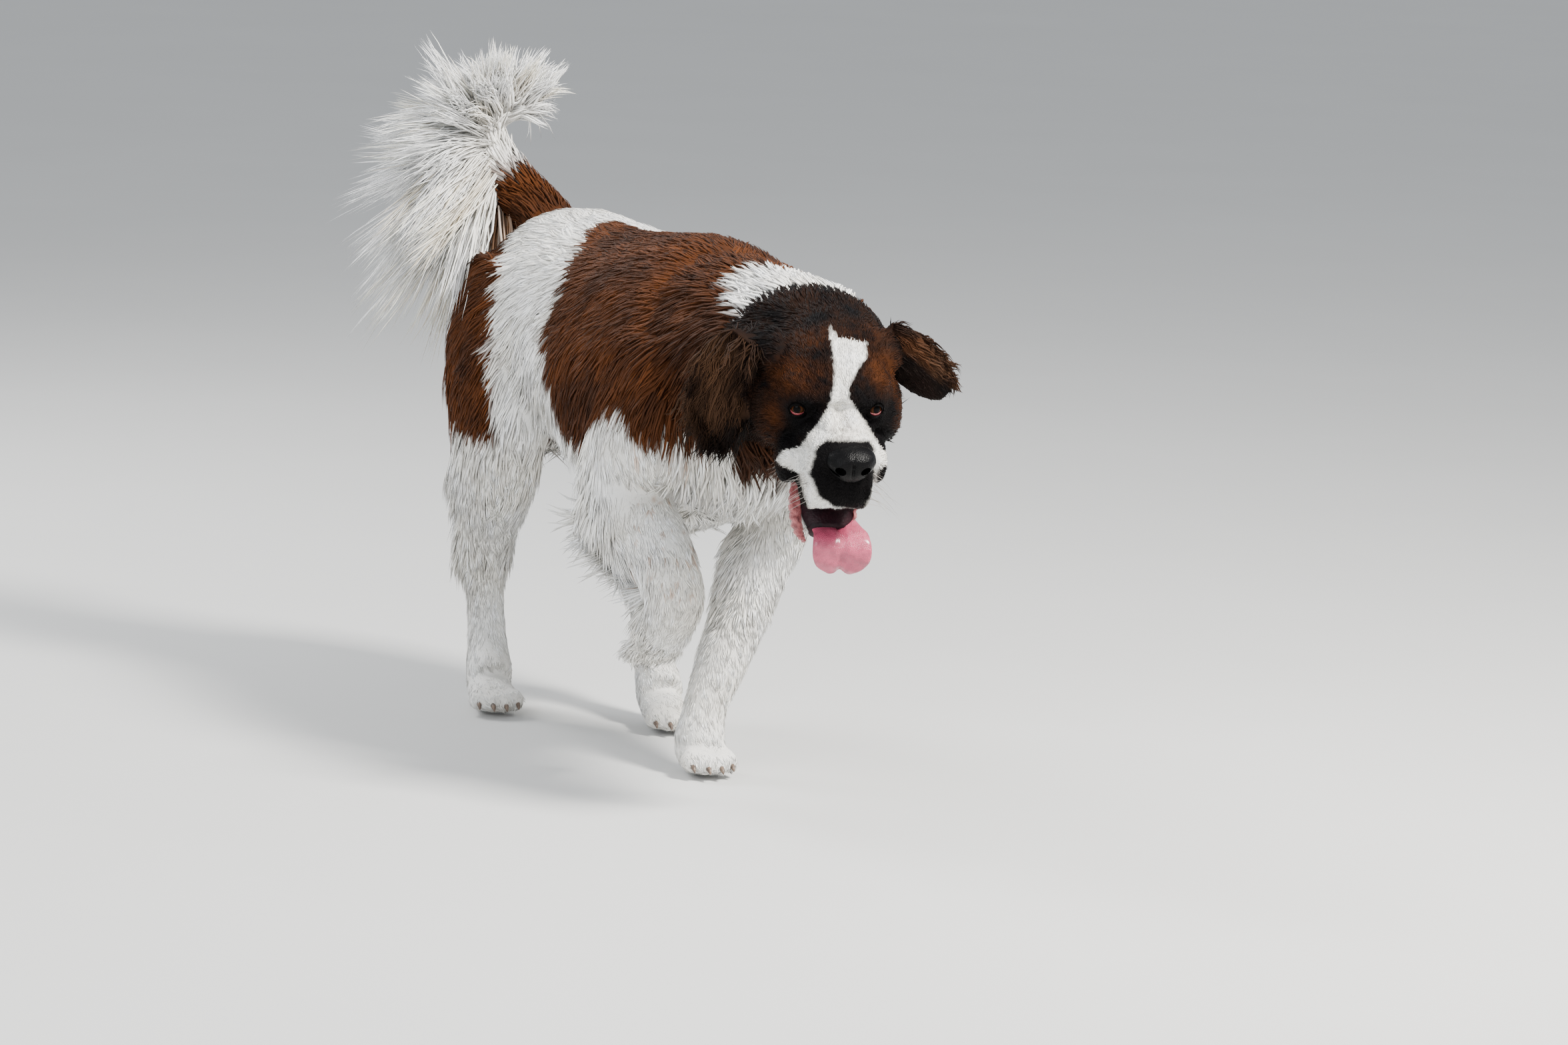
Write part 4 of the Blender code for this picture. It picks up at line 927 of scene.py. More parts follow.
# Finishes of flesh, leather and horn: colour, its darker mottle, the mottle's scale, roughness,
# the clear wet layer, the scale and height of the pebbled relief, and shine. The tongue's colours
# are the panel's.
FINISHES = {
    # The mouth's inside: flesh painted near black, a painted shade of the shadowed mouth.
    "mouth_flesh_painted_shade": ((0.020, 0.005, 0.008), (0.003, 0.0015, 0.0025), 60, 0.5, 0.0, 300, 0.0006, 0.15),
    "lid_leather": ((0.0024, 0.0018, 0.0018), (0.0008, 0.0007, 0.0007), 400, 0.6, 0.0, 900, 0.0003, 0.05),
    "haw_flesh": ((0.30, 0.050, 0.060), (0.14, 0.016, 0.022), 500, 0.35, 0.3, 700, 0.0002, 0.35),
    "nose_black": ((0.0026, 0.0024, 0.0027), (0.0010, 0.0010, 0.0011), 260, 0.36, 0.0, 620, 0.0006, 0.09),
    "tongue_pink": (None, None, 90, 0.30, 0.5, 800, 0.0009, 0.35),
    "lip_flesh": ((0.52, 0.17, 0.17), (0.10, 0.020, 0.024), 120, 0.35, 0.7, 500, 0.0006, 0.35),
    "claw_horn": ((0.20, 0.14, 0.10), (0.05, 0.035, 0.03), 140, 0.38, 0.2, 900, 0.0002, 0.35),
    "whisker_horn": ((0.45, 0.42, 0.38), (0.10, 0.09, 0.08), 60, 0.4, 0.1, 900, 0.0001, 0.35),
}


def finish_material(name):
    """Flesh, leather or horn: mottled colour, pebbled relief and a clear wet layer."""
    colour, dark, scale, roughness, coat, bump_scale, bump_height, shine = FINISHES[name]
    if name == "tongue_pink":
        colour = tuple(colours("tongue"))
        dark = tuple(0.6 * value for value in colour)
    material, nodes, links, shader = new_material(name)
    where = nodes.new("ShaderNodeTexCoord")
    mottle = noise_node(nodes, links, where.outputs["Object"], scale)
    mottled = ramped(nodes, links, mottle.outputs["Fac"], ((0.30, dark), (0.68, colour)))
    links.new(mottled, shader.inputs["Base Color"])
    shader.inputs["Roughness"].default_value = roughness
    shader.inputs["Coat Weight"].default_value = coat
    shader.inputs["Coat Roughness"].default_value = 0.2
    shader.inputs["Specular IOR Level"].default_value = shine
    pebble = nodes.new("ShaderNodeTexVoronoi")
    pebble.inputs["Scale"].default_value = bump_scale
    links.new(where.outputs["Object"], pebble.inputs["Vector"])
    bumped(nodes, links, pebble.outputs["Distance"], 0.7, bump_height, shader)
    return material


def eye_material(centre, ahead):
    """A dark pupil and an amber-brown iris with spokes, around one eye's line of sight."""
    material, nodes, links, shader = new_material("eye_wet")
    where = nodes.new("ShaderNodeTexCoord")
    from_centre = nodes.new("ShaderNodeVectorMath")
    from_centre.operation = "SUBTRACT"
    from_centre.inputs[1].default_value = centre
    links.new(where.outputs["Object"], from_centre.inputs[0])
    along = nodes.new("ShaderNodeVectorMath")
    along.operation = "DOT_PRODUCT"
    along.inputs[1].default_value = ahead
    links.new(from_centre.outputs["Vector"], along.inputs[0])
    share = nodes.new("ShaderNodeMapRange")
    share.inputs["From Min"].default_value = EYE_RADIUS * 0.60
    share.inputs["From Max"].default_value = EYE_RADIUS
    links.new(along.outputs["Value"], share.inputs["Value"])
    stops = (
        (0.0, (0.16, 0.09, 0.08)), (0.22, (0.10, 0.05, 0.04)), (0.30, (0.006, 0.003, 0.002)),
        (0.40, (0.022, 0.007, 0.002)), (0.72, (0.042, 0.014, 0.004)), (0.80, (0.012, 0.004, 0.002)),
        (0.84, (0.0005, 0.0005, 0.0005)),
    )
    rings = ramped(nodes, links, share.outputs["Result"], stops)
    spokes = noise_node(nodes, links, where.outputs["Object"], 900.0)
    colour = multiplied(nodes, links, rings, spokes.outputs["Fac"], 0.6, 1.4)
    links.new(colour, shader.inputs["Base Color"])
    shader.inputs["Roughness"].default_value = 0.30
    shader.inputs["Specular IOR Level"].default_value = 0.03
    shader.inputs["Coat Weight"].default_value = 0.045
    shader.inputs["Coat Roughness"].default_value = 0.04
    return material


# The skin.


def sections_of(rows, skin):
    """Loft sections from rows of left, forward, up and two half sizes."""
    return [(place(*row[:3]), row[3] + skin, row[4] + skin) for row in smooth_rows(rows, 3)]


def head_sections(rows, skin, steps=3):
    """Loft sections from rows of forward, up, half width and half height in the head's axes."""
    return [(in_head(0, row[1], row[0]), row[2] + skin, row[3] + skin) for row in smooth_rows(rows, steps)]


def paw_axes(name):
    """One paw's heel and toes, its way ahead and its way across."""
    heel, toes = (place(*point) for point in PAWS[name])
    ahead = (toes - heel).normalized()
    return heel, toes, ahead, (SIDEWAYS - ahead.x * ahead).normalized()


def paw_pieces(name):
    """The pad of one paw with its four knuckled toes."""
    heel, toes, ahead, across = paw_axes(name)
    sections = [
        (heel - ahead * 0.012, 0.028, 0.022),
        (heel.lerp(toes, 0.35), PAW_HALF_WIDTH * 0.94, PAW_HALF_HEIGHT * 0.94),
        (heel.lerp(toes, 0.80), PAW_HALF_WIDTH * 0.94, PAW_HALF_HEIGHT * 0.84),
        (toes, PAW_HALF_WIDTH * 0.80, PAW_HALF_HEIGHT * 0.6),
    ]
    pieces = [loft(name + "_pad", sections, across)]
    turn = Matrix((across, ahead, across.cross(ahead))).transposed()
    for toe in range(4):
        centre = toe_place(name, toe)
        halves = (TOE_RADIUS * 0.92, TOE_RADIUS * 1.45, TOE_RADIUS * 1.18)
        pieces.append(ellipsoid(f"{name}_toe_{toe}", centre, halves, turn))
    return pieces


def toe_place(name, toe):
    """The middle of one toe."""
    _, toes, ahead, across = paw_axes(name)
    aside = (toe - 1.5) * PAW_HALF_WIDTH * 0.52
    return toes + across * aside + ahead * (0.012 if toe in (1, 2) else 0.0)


def body_skin():
    """Trunk, neck, legs, paws and tail in one skin."""
    pieces = [
        loft("trunk", sections_of(TRUNK, TRUNK_SKIN), SIDEWAYS),
        loft("neck", sections_of(NECK, NECK_SKIN), SIDEWAYS),
        loft("tail", sections_of([(*row, row[3]) for row in TAIL], TAIL_SKIN), SIDEWAYS, 16),
    ]
    for name, rows in LEGS.items():
        pieces.append(loft(name, sections_of(rows, LEG_SKIN), SIDEWAYS))
        pieces += paw_pieces(name)
    return melted("body_skin", pieces, sizes().body_voxel, 9)


def ear_flap(which):
    """One ear's flap."""
    across = AXES @ Vector(EAR_ACROSS[which])
    sections = [(in_head(*row[:3]), row[3], row[4]) for row in smooth_rows(EARS[which], 3)]
    return loft("ear_" + which, sections, across, 20)


def head_skin():
    """Skull, muzzle, brows, cheeks, flews and ears, with the mouth cut and the jaw hung in it."""
    pieces = [
        loft("skull", head_sections(SKULL, SKULL_SKIN), HEAD_LEFT),
        loft("muzzle", head_sections(MUZZLE, FACE_SKIN), HEAD_LEFT),
        loft("nape", sections_of(NECK[2:], NECK_SKIN), SIDEWAYS),
    ]
    turn = head_matrix(Vector())
    for middle, halves in FACE_FORMS:
        for side in (1, -1):
            centre = in_head(middle[0] * side, middle[1], middle[2])
            grown = [half + FACE_SKIN for half in halves]
            pieces.append(ellipsoid("form", centre, grown, turn))
    pieces += [ear_flap("right"), ear_flap("left")]
    head = melted("head_skin", pieces, sizes().head_voxel, 7)
    sculpt_face(head)
    opening = loft("mouth_opening", head_sections(MOUTH, 0, 6), HEAD_LEFT, 40)
    boolean(head, opening, "DIFFERENCE")
    jaw = loft("jaw", head_sections(JAW, FACE_SKIN, 5), HEAD_LEFT, 36)
    boolean(head, jaw, "UNION")
    for side in (1, -1):
        centre = in_head(EYE_PLACE[0] * side, EYE_PLACE[1], EYE_PLACE[2])
        socket = ellipsoid("socket", centre, (EYE_RADIUS * 1.12,) * 3, turn)
        almond = lid_frame(side)
        opening_at = almond @ Vector((0, -0.0010, 0.020))
        around = ellipsoid("around", opening_at, (0.0140, 0.0112, 0.0200), almond)
        for cutter in (socket, around):
            boolean(head, cutter, "DIFFERENCE")
            removed(cutter)
    removed(opening, jaw)
    return head


def sculpt_face(head):
    """Moves the skin in the head's axes: the furrow, the stop, the folds under the eyes."""
    points = points_of(head)
    local = head_places(points)
    left, up, forward = local.T
    away = np.abs(left)
    furrow = 0.0045 * np.exp(-(left / 0.009) ** 2) * np.exp(-((up - 0.045) / 0.040) ** 2) * (forward > -0.10)
    fold = 0.0030 * np.exp(-((up + 0.034 + 0.35 * (away - 0.05)) / 0.006) ** 2)
    fold = fold * np.exp(-((away - 0.060) / 0.022) ** 2) * (forward > -0.05)
    flew = 0.0035 * np.sin(away * 210) * np.exp(-((up + 0.085) / 0.03) ** 2)
    flew = flew * (forward > -0.03) * (away > 0.035)
    normals = np.zeros(len(points) * 3)
    head.data.vertices.foreach_get("normal", normals)
    normals = normals.reshape(-1, 3)
    moved = points + normals * (flew - furrow - fold)[:, None]
    head.data.vertices.foreach_set("co", moved.ravel())
    head.data.update()


def paint_skin(skin, head_tree, ear_trees):
    """Gives every corner of the skin its pigment."""
    points = points_of(skin)
    colour = region_colours(points, *regions(points, head_tree, ear_trees))
    attribute = skin.data.color_attributes.new("pigment", "FLOAT_COLOR", "POINT")
    rgba = np.ones((len(points), 4))
    rgba[:, :3] = colour * 0.88
    attribute.data.foreach_set("color", rgba.ravel())


def regions(points, head_tree, ear_trees):
    """Which points are on the head, and on which ear."""
    head = head_places(points)
    near = np.linalg.norm(head - np.array([0, 0, -0.06]), axis=1) < 0.27
    on_head = np.zeros(len(points), bool)
    on_ear = {which: np.zeros(len(points), bool) for which in ear_trees}
    for index in np.nonzero(near)[0]:
        point = Vector(points[index])
        on_head[index] = head_tree.find_nearest(point)[3] < HEAD_NEAR
        for which, tree in ear_trees.items():
            on_ear[which][index] = tree.find_nearest(point)[3] < EAR_NEAR
    border = head[:, 2] > -0.165 - 0.25 * head[:, 1]
    for which in on_ear:
        on_ear[which] &= np.abs(head[:, 0]) > EAR_FROM
    return on_head & border, on_ear


def region_colours(points, on_head, on_ear):
    """The coat's colour wherever the points are."""
    colour = body_colours(points)
    if on_head.any():
        colour[on_head] = head_colours(points[on_head])
    for which, mask in on_ear.items():
        if mask.any():
            colour[mask] = ear_colours(points[mask], which)
    return colour


def make_skin():
    """Sculpts the skin and keeps what the groom needs."""
    body, head = body_skin(), head_skin()
    made["head_tree"] = tree_of(head)
    flaps = {which: ear_flap(which) for which in EARS}
    made["ear_trees"] = {which: tree_of(flap) for which, flap in flaps.items()}
    removed(*flaps.values())
    boolean(body, head, "UNION")
    removed(head)
    floor = bmesh.new()
    bmesh.ops.create_cube(floor, size=4, matrix=Matrix.Translation((0, 0, FLOOR - 2)))
    floor = object_from(floor, "floor_cut")
    boolean(body, floor, "DIFFERENCE")
    removed(floor)
    body.name = "skin"
    opening = loft("mouth_probe", head_sections(MOUTH, 0.0012, 6), HEAD_LEFT, 40)
    made["mouth"] = tree_of(opening)
    removed(opening)
    paint_skin(body, made["head_tree"], made["ear_trees"])
    shaded_smooth(body)
    skin = skin_material("close_fur")
    # Faces inside the mouth take flesh painted near black as painted shade.
    flesh = finish_material("mouth_flesh_painted_shade")
    covered(body, skin, flesh)
    marks = np.zeros(len(body.data.polygons), np.int32)
    for polygon in body.data.polygons:
        head_spot = head_places(np.array([polygon.center]))[0]
        if head_spot[2] < -0.06 or abs(head_spot[0]) > 0.07 or not -0.2 < head_spot[1] < -0.07:
            continue
        nearest, normal, _, _ = made["mouth"].find_nearest(polygon.center)
        if (polygon.center - nearest).dot(normal) < 0:
            marks[polygon.index] = 1
    body.data.polygons.foreach_set("material_index", marks)
    made["skin"] = body
    made["bare"] = marks == 1
    ridden(body, "white_coat", *FLESH)


# The coat.


def unwrap(skin):
    """A light copy of the skin, unwrapped, and its triangles' places on the unwrap."""
    light = new_object("unwrap_copy", skin.data.copy())
    thin = light.modifiers.new("thin", "DECIMATE")
    thin.ratio = 0.05
    applied(light)
    bpy.ops.object.select_all(action="DESELECT")
    light.select_set(True)
    bpy.context.view_layer.objects.active = light
    bpy.ops.object.mode_set(mode="EDIT")
    bpy.ops.mesh.select_all(action="SELECT")
    bpy.ops.mesh.quads_convert_to_tris()
    bpy.ops.uv.smart_project(angle_limit=math.radians(66), island_margin=0.004)
    bpy.ops.object.mode_set(mode="OBJECT")
    uv = np.zeros(len(light.data.loops) * 2)
    light.data.uv_layers.active.data.foreach_get("uv", uv)
    uv = uv.reshape(-1, 3, 2)
    corners = np.zeros(len(light.data.loops), np.int32)
    light.data.loops.foreach_get("vertex_index", corners)
    tree = tree_of(light)
    points = points_of(light)[corners].reshape(-1, 3, 3)
    removed(light)
    return tree, points, uv


def unwrapped(roots):
    """Each root's place on the skin's unwrap."""
    tree, triangles, uv = made["unwrap"]
    faces = np.array([tree.find_nearest(Vector(root))[2] for root in roots])
    corner = triangles[faces]
    first, second = corner[:, 1] - corner[:, 0], corner[:, 2] - corner[:, 0]
    offset = roots - corner[:, 0]
    d00, d01, d11 = (first * first).sum(1), (first * second).sum(1), (second * second).sum(1)
    d20, d21 = (offset * first).sum(1), (offset * second).sum(1)
    scale = np.maximum(d00 * d11 - d01 * d01, 1e-14)
    v, w = (d11 * d20 - d01 * d21) / scale, (d00 * d21 - d01 * d20) / scale
    v, w = np.clip(v, 0, 1), np.clip(w, 0, 1)
    u = np.clip(1 - v - w, 0, 1)
    share = np.stack([u, v, w], axis=1)
    share /= share.sum(1, keepdims=True)
    return (uv[faces] * share[:, :, None]).sum(1)


# Where a tuft's rings stand along it and how wide they are, by its number of rings
TUFT_STEPS = {
    2: ((0.0, 0.85), (0.52, 0.80)),
    3: ((0.0, 0.80), (0.34, 1.00), (0.70, 0.66)),
    6: ((0.0, 0.75), (0.16, 1.00), (0.34, 0.98), (0.52, 0.85), (0.70, 0.64), (0.87, 0.36)),
}
# The most tufts in one coat piece, by their number of rings
MOST_TUFTS = {2: 18500, 3: 12300, 6: 5000}
# How deep a tuft is rooted at most and as a share of its length, the width of one hair, and half
# the width of a tuft's patch on the unwrap
ROOT_DEPTH = 0.0008
ROOT_SHARE = 0.04
HAIR_WIDTH = 0.0007
PATCH_HALF = 0.0014


def tuft_faces(rings):
    """Corner numbers and face sizes of one tuft, closed at both ends."""
    loops, counts = [0, 2, 1], [3]
    for ring in range(rings - 1):
        low, high = ring * 3, ring * 3 + 3
        for one, two in ((0, 2), (2, 1), (1, 0)):
            loops += [high + one, high + two, low + two, low + one]
            counts.append(4)
    tip, last = rings * 3, (rings - 1) * 3
    for one, two in ((2, 0), (1, 2), (0, 1)):
        loops += [tip, last + one, last + two]
        counts.append(3)
    return np.array(loops), np.array(counts)


def build_tufts(name, tufts, rings, slot):
    """One coat piece of many tufts, from arrays of their roots, ways, sizes and colours."""
    steps = list(TUFT_STEPS[rings]) + [(1.0, 0.0)]
    root, normal, along = tufts["root"], tufts["normal"], tufts["along"]
    length, width = tufts["length"][:, None], tufts["width"][:, None]
    lift = np.radians(tufts["lift"])[:, None]
    side = unit(np.cross(along, normal))
    count = len(root)
    per = rings * 3 + 1
    points = np.zeros((count, per, 3))
    shade = np.zeros((count, per, 4))
    patch = np.zeros((count, per, 2))
    strand = np.zeros((count, per, 3))
    strand[:, :, 2] = tufts["phase"][:, None] * 40
    hairs = tufts["width"] / HAIR_WIDTH
    sunk = root - normal * np.minimum(ROOT_DEPTH, length * ROOT_SHARE)
    down = np.array([0, 0, -1.0])
    for index, (t, wide) in enumerate(steps):
        rise = np.sin(lift) * (t - tufts["curl"][:, None] * t * t)
        turned = tufts["phase"] + t * tufts["turns"] * 6.283
        wave = (tufts["wave"] * np.sin(turned))[:, None] * t
        centre = sunk + length * (along * np.cos(lift) * t + normal * rise)
        centre = centre + side * wave + down * length * tufts["sag"][:, None] * t * t
        centre = centre + tufts["pull"] * t * t
        ridge = normal * np.cos(lift * (1 - t)) - along * np.sin(lift * (1 - t))
        tone = 0.74 + 0.34 * min(1.0, t * 1.5)
        colour = np.clip(tufts["colour"] * (tone * tufts["tone"][:, None]), 0, 0.90)
        strand[:, index * 3:, 1] = t * 2.5
        if t >= 1.0:
            points[:, -1], shade[:, -1, :3], patch[:, -1] = centre, colour, (0, PATCH_HALF)
            strand[:, -1, 0] = hairs * 0.5
            break
        spread = width * wide * 0.5
        base = index * 3
        points[:, base] = centre + side * spread
        points[:, base + 1] = centre - side * spread
        points[:, base + 2] = centre + ridge * spread * tufts["ridge"][:, None]
        strand[:, base + 1, 0] = hairs
        strand[:, base + 2, 0] = hairs * 0.5
        for corner, shift in ((0, -PATCH_HALF), (1, PATCH_HALF), (2, 0.0)):
            shade[:, base + corner, :3] = colour
            patch[:, base + corner] = (shift, PATCH_HALF * (2 * t - 1))
    shade[:, :, 3] = 1
    points[:, :, 2] = np.maximum(points[:, :, 2], FLOOR + FLOOR_GAP)
    loops, counts = tuft_faces(rings)
    all_loops = (np.arange(count)[:, None] * per + loops[None]).ravel()
    all_counts = np.tile(counts, count)
    mesh = bpy.data.meshes.new(name)
    mesh.vertices.add(count * per)
    mesh.vertices.foreach_set("co", points.ravel())
    mesh.loops.add(len(all_loops))
    mesh.loops.foreach_set("vertex_index", all_loops.astype(np.int32))
    mesh.polygons.add(len(all_counts))
    starts = np.concatenate([[0], np.cumsum(all_counts)[:-1]])
    mesh.polygons.foreach_set("loop_start", starts.astype(np.int32))
    mesh.polygons.foreach_set("loop_total", all_counts.astype(np.int32))
    mesh.update(calc_edges=True)
    pigment = mesh.color_attributes.new("pigment", "FLOAT_COLOR", "POINT")
    pigment.data.foreach_set("color", shade.ravel())
    strands = mesh.attributes.new("strand", "FLOAT_VECTOR", "POINT")
    strands.data.foreach_set("vector", strand.ravel())
    places = np.clip(tufts["uv"][:, None, :] + patch, 0.0005, 0.9995).reshape(-1, 2)
    layer = mesh.uv_layers.new(name="OFBake")
    layer.data.foreach_set("uv", places[all_loops].ravel())
    obj = shaded_smooth(new_object(name, mesh))
    mesh.materials.append(made["hair"])
    return ridden(obj, slot)


def scattered(skin, density, draw):
    """Evenly spread roots on the skin: points and normals."""
    mesh = skin.data
    mesh.calc_loop_triangles()
    count = len(mesh.loop_triangles)
    corners = np.zeros(count * 3, np.int32)
    mesh.loop_triangles.foreach_get("vertices", corners)
    corners = corners.reshape(-1, 3)
    faces = np.zeros(count, np.int32)
    mesh.loop_triangles.foreach_get("polygon_index", faces)
    points = points_of(skin)
    corners = np.take_along_axis(corners, np.argsort(points[corners][:, :, 0], axis=1), axis=1)
    middle = points[corners].mean(1).round(6)
    order = np.lexsort((middle[:, 2], middle[:, 1], middle[:, 0]))
    corners, faces = corners[order], faces[order]
    flat = np.zeros(len(points) * 3)
    mesh.vertices.foreach_get("normal", flat)
    normals = flat.reshape(-1, 3)
    triangles = points[corners]
    area = 0.5 * np.linalg.norm(
        np.cross(triangles[:, 1] - triangles[:, 0], triangles[:, 2] - triangles[:, 0]), axis=1
    )
    area[made["bare"][faces]] = 0
    weight = area * density(triangles.mean(1))
    edges = np.cumsum(weight)
    total = int(edges[-1])
    marks = (np.arange(total) + draw.random(total)) * edges[-1] / total
    chosen = np.searchsorted(edges, marks)
    chosen = np.clip(chosen, 0, count - 1)
    one, two = draw.random(total), draw.random(total)
    flip = one + two > 1
    one[flip], two[flip] = 1 - one[flip], 1 - two[flip]
    share = np.stack([1 - one - two, one, two], axis=1)[:, :, None]
    root = (triangles[chosen] * share).sum(1)
    normal = unit((normals[corners[chosen]] * share).sum(1))
    return root, normal


def guided(dog):
    """The way, length and lift of the hair at places on the body, read from the guide hairs."""
    rows = []
    for side, left, forward, up, way, length, lift in GUIDES:
        for sign in ((1, -1) if side == 0 else (side,)):
            if sign == 1 and side == 0 and forward < 0 and up < 0.33:
                continue
            rows.append((sign * left, forward, up, sign * way[0], way[1], way[2], length, lift))
    table = np.array(rows)
    away = ((dog[:, None, :] - table[None, :, :3]) ** 2).sum(2)
    nearest = np.argpartition(away, GUIDES_READ, axis=1)[:, :GUIDES_READ]
    pull = 1 / (np.take_along_axis(away, nearest, axis=1) + 2e-4) ** 1.5
    pull /= pull.sum(1, keepdims=True)
    read = (table[nearest] * pull[:, :, None]).sum(1)
    way = np.stack([read[:, 3], -read[:, 4], read[:, 5]], axis=1)
    lift = read[:, 7]
    trunk = np.where(lift < 17, lift * 0.45, lift * 0.62)
    return way, read[:, 6], np.where(dog[:, 2] < 0.42, lift * 1.1, trunk)


def combed(way, normal):
    """Ways laid flat on the skin."""
    flat = way - (way * normal).sum(1, keepdims=True) * normal
    return unit(flat)


def wisps(root, spacing, draw):
    """Parts roots among wisps about so far apart: each root's wisp number and its middle."""
    count = len(root)
    spread = draw.permutation(count)
    cells = {}
    for index in spread:
        cells.setdefault(tuple(np.floor(root[index] / spacing).astype(int)), index)
    middles = np.array(sorted(cells.values()))
    tree = KDTree(len(middles))
    for number, index in enumerate(middles):
        tree.insert(Vector(root[index]), number)
    tree.balance()
    own = np.array([tree.find(Vector(point))[1] for point in root])
    return own, middles[own]


def hugging(root, normal, along, length, lift):
    """How far each tip moves along its normal to keep its height over the curving skin."""
    rise = length * np.sin(np.radians(lift)) * 0.58
    tip = root + along * (length * np.cos(np.radians(lift)))[:, None] + normal * rise[:, None]
    over = np.zeros(len(root))
    for index, point in enumerate(tip):
        nearest, outward, _, _ = made["skin_tree"].find_nearest(Vector(point))
        over[index] = (Vector(point) - nearest).dot(outward)
    limit = length * np.interp(lift, (10, 16), (0.40, 0.10))
    return np.clip(rise - over, -limit, limit)


def tuft_rows(root, normal, way, length, width, lift, draw, spacing, paint, painted_at=0.55):
    """The arrays that one coat piece is built from, gathered in wisps that keep together."""
    count = len(root)
    own, middle = wisps(root, spacing, draw)
    number = own.max() + 1
    swirl = np.stack([bumps(root, 22, 21), bumps(root, 22, 22), bumps(root, 22, 23)], axis=1)
    turned = draw.normal(size=(number, 3))[own]
    way = unit(way) + SWIRL * swirl + WISP_TURN * turned + TUFT_TURN * draw.normal(size=(count, 3))
    along = combed(way, normal)
    length = length * draw.uniform(0.84, 1.14, number)[own] * draw.uniform(0.80, 1.12, count)
    pull = root[middle] - root
    pull = pull - 0.7 * (pull * normal).sum(1, keepdims=True) * normal
    tone = 1 + 0.10 * draw.normal(size=number).clip(-2, 2)[own] + 0.07 * draw.normal(size=count).clip(-2, 2)
    lift = np.maximum(2, lift * draw.uniform(0.7, 1.3, number)[own] + 2.0 * draw.normal(size=count))
    hug = hugging(root, normal, along, length, lift) * draw.uniform(0.45, 1.0, number)[own]
    return {
        "root": root, "normal": normal, "along": along, "length": length,
        "pull": pull * 0.55 + normal * hug[:, None], "ridge": np.interp(length, (0.012, 0.035), (0.22, 0.40)),
        "width": width * draw.uniform(0.7, 1.25, count),
        "lift": lift,
        "colour": paint(root + along * (length * painted_at)[:, None]), "tone": tone,
        "curl": np.full(count, 0.42), "sag": np.full(count, 0.05),
        "wave": length * 0.045, "phase": draw.uniform(0, 6.28, number)[own] + draw.uniform(0, 0.5, count),
        "turns": draw.uniform(0.6, 1.2, number)[own], "uv": unwrapped(root),
    }


def taken(tufts, mask):
    """Only the tufts that a mask picks."""
    return {key: value[mask] for key, value in tufts.items()}


def split_pieces(stem, tufts, rings, slot, order):
    """Builds tufts as pieces that each stay light enough, parted along an axis."""
    count = len(tufts["root"])
    ranks = np.argsort(tufts["root"] @ np.array(order))
    pieces = max(1, math.ceil(count / MOST_TUFTS[rings]))
    for index in range(pieces):
        part = ranks[index * count // pieces:(index + 1) * count // pieces]
        suffix = f"_{index + 1}" if pieces > 1 else ""
        build_tufts(stem + suffix, taken(tufts, part), rings, slot)


def tail_point(share):
    """A point of the tail's bone, its way there and its width."""
    reached = share * (len(TAIL) - 1)
    index = min(int(reached), len(TAIL) - 2)
    row = np.array(TAIL[index]) + (np.array(TAIL[index + 1]) - np.array(TAIL[index])) * (reached - index)
    along = place(*TAIL[index + 1][:3]) - place(*TAIL[index][:3])
    return np.array(place(*row[:3])), np.array(along.normalized()), row[3]


def tail_share(points):
    """How far along the tail's bone each point is, and how far away from it."""
    shares = np.linspace(0, 1, 60)
    bone = np.array([tail_point(share)[0] for share in shares])
    away = np.linalg.norm(points[:, None] - bone[None], axis=2)
    nearest = away.argmin(1)
    return shares[nearest], away.min(1)


def groom_body(draw):
    """The coat of trunk, neck and legs."""
    skin = made["skin"]

    def density(points):
        dog = dog_places(points)
        head = head_places(points)
        leg = (dog[:, 2] < 0.40) | ((dog[:, 1] > 0.36) & (dog[:, 2] < 0.42))
        amount = np.where(leg, sizes().leg_tufts, sizes().body_tufts).astype(float)
        amount[(np.linalg.norm(head, axis=1) < 0.16) & (head[:, 2] > -0.06) & (head[:, 1] > -0.16)] = 0
        return amount

    root, normal = scattered(skin, density, draw)
    on_head, on_ear = regions(root, made["head_tree"], made["ear_trees"])
    keep = ~(on_head | on_ear["left"] | on_ear["right"]) & (root[:, 2] > 0.004)
    root, normal = root[keep], normal[keep]
    dog = dog_places(root)
    way, length, lift = guided(dog)
    share, away = tail_share(root)
    tail = (away < 0.075) & (share > 0.06) & (dog[:, 2] > 0.73)
    bone = np.array([tail_point(value)[1] for value in share])
    way[tail] = bone[tail] + np.array([0, 0.2, -0.1])
    length[tail] = 0.062
    lift[tail] = 20
    width = sizes().tuft_width * np.clip((length / 0.055) ** 0.6, 0.42, 1.35)
    tufts = tuft_rows(root, normal, way, length, width, lift, draw, 0.013, body_colours)
    tufts["sag"] = np.where(length > 0.06, 0.14, 0.04)
    short = length < 0.032
    split_pieces("coat_legs", taken(tufts, short), 2, "white_coat", (0, -1, 0.3))
    split_pieces("coat_body", taken(tufts, ~short), 3, "red_coat", (0, 1, 0))


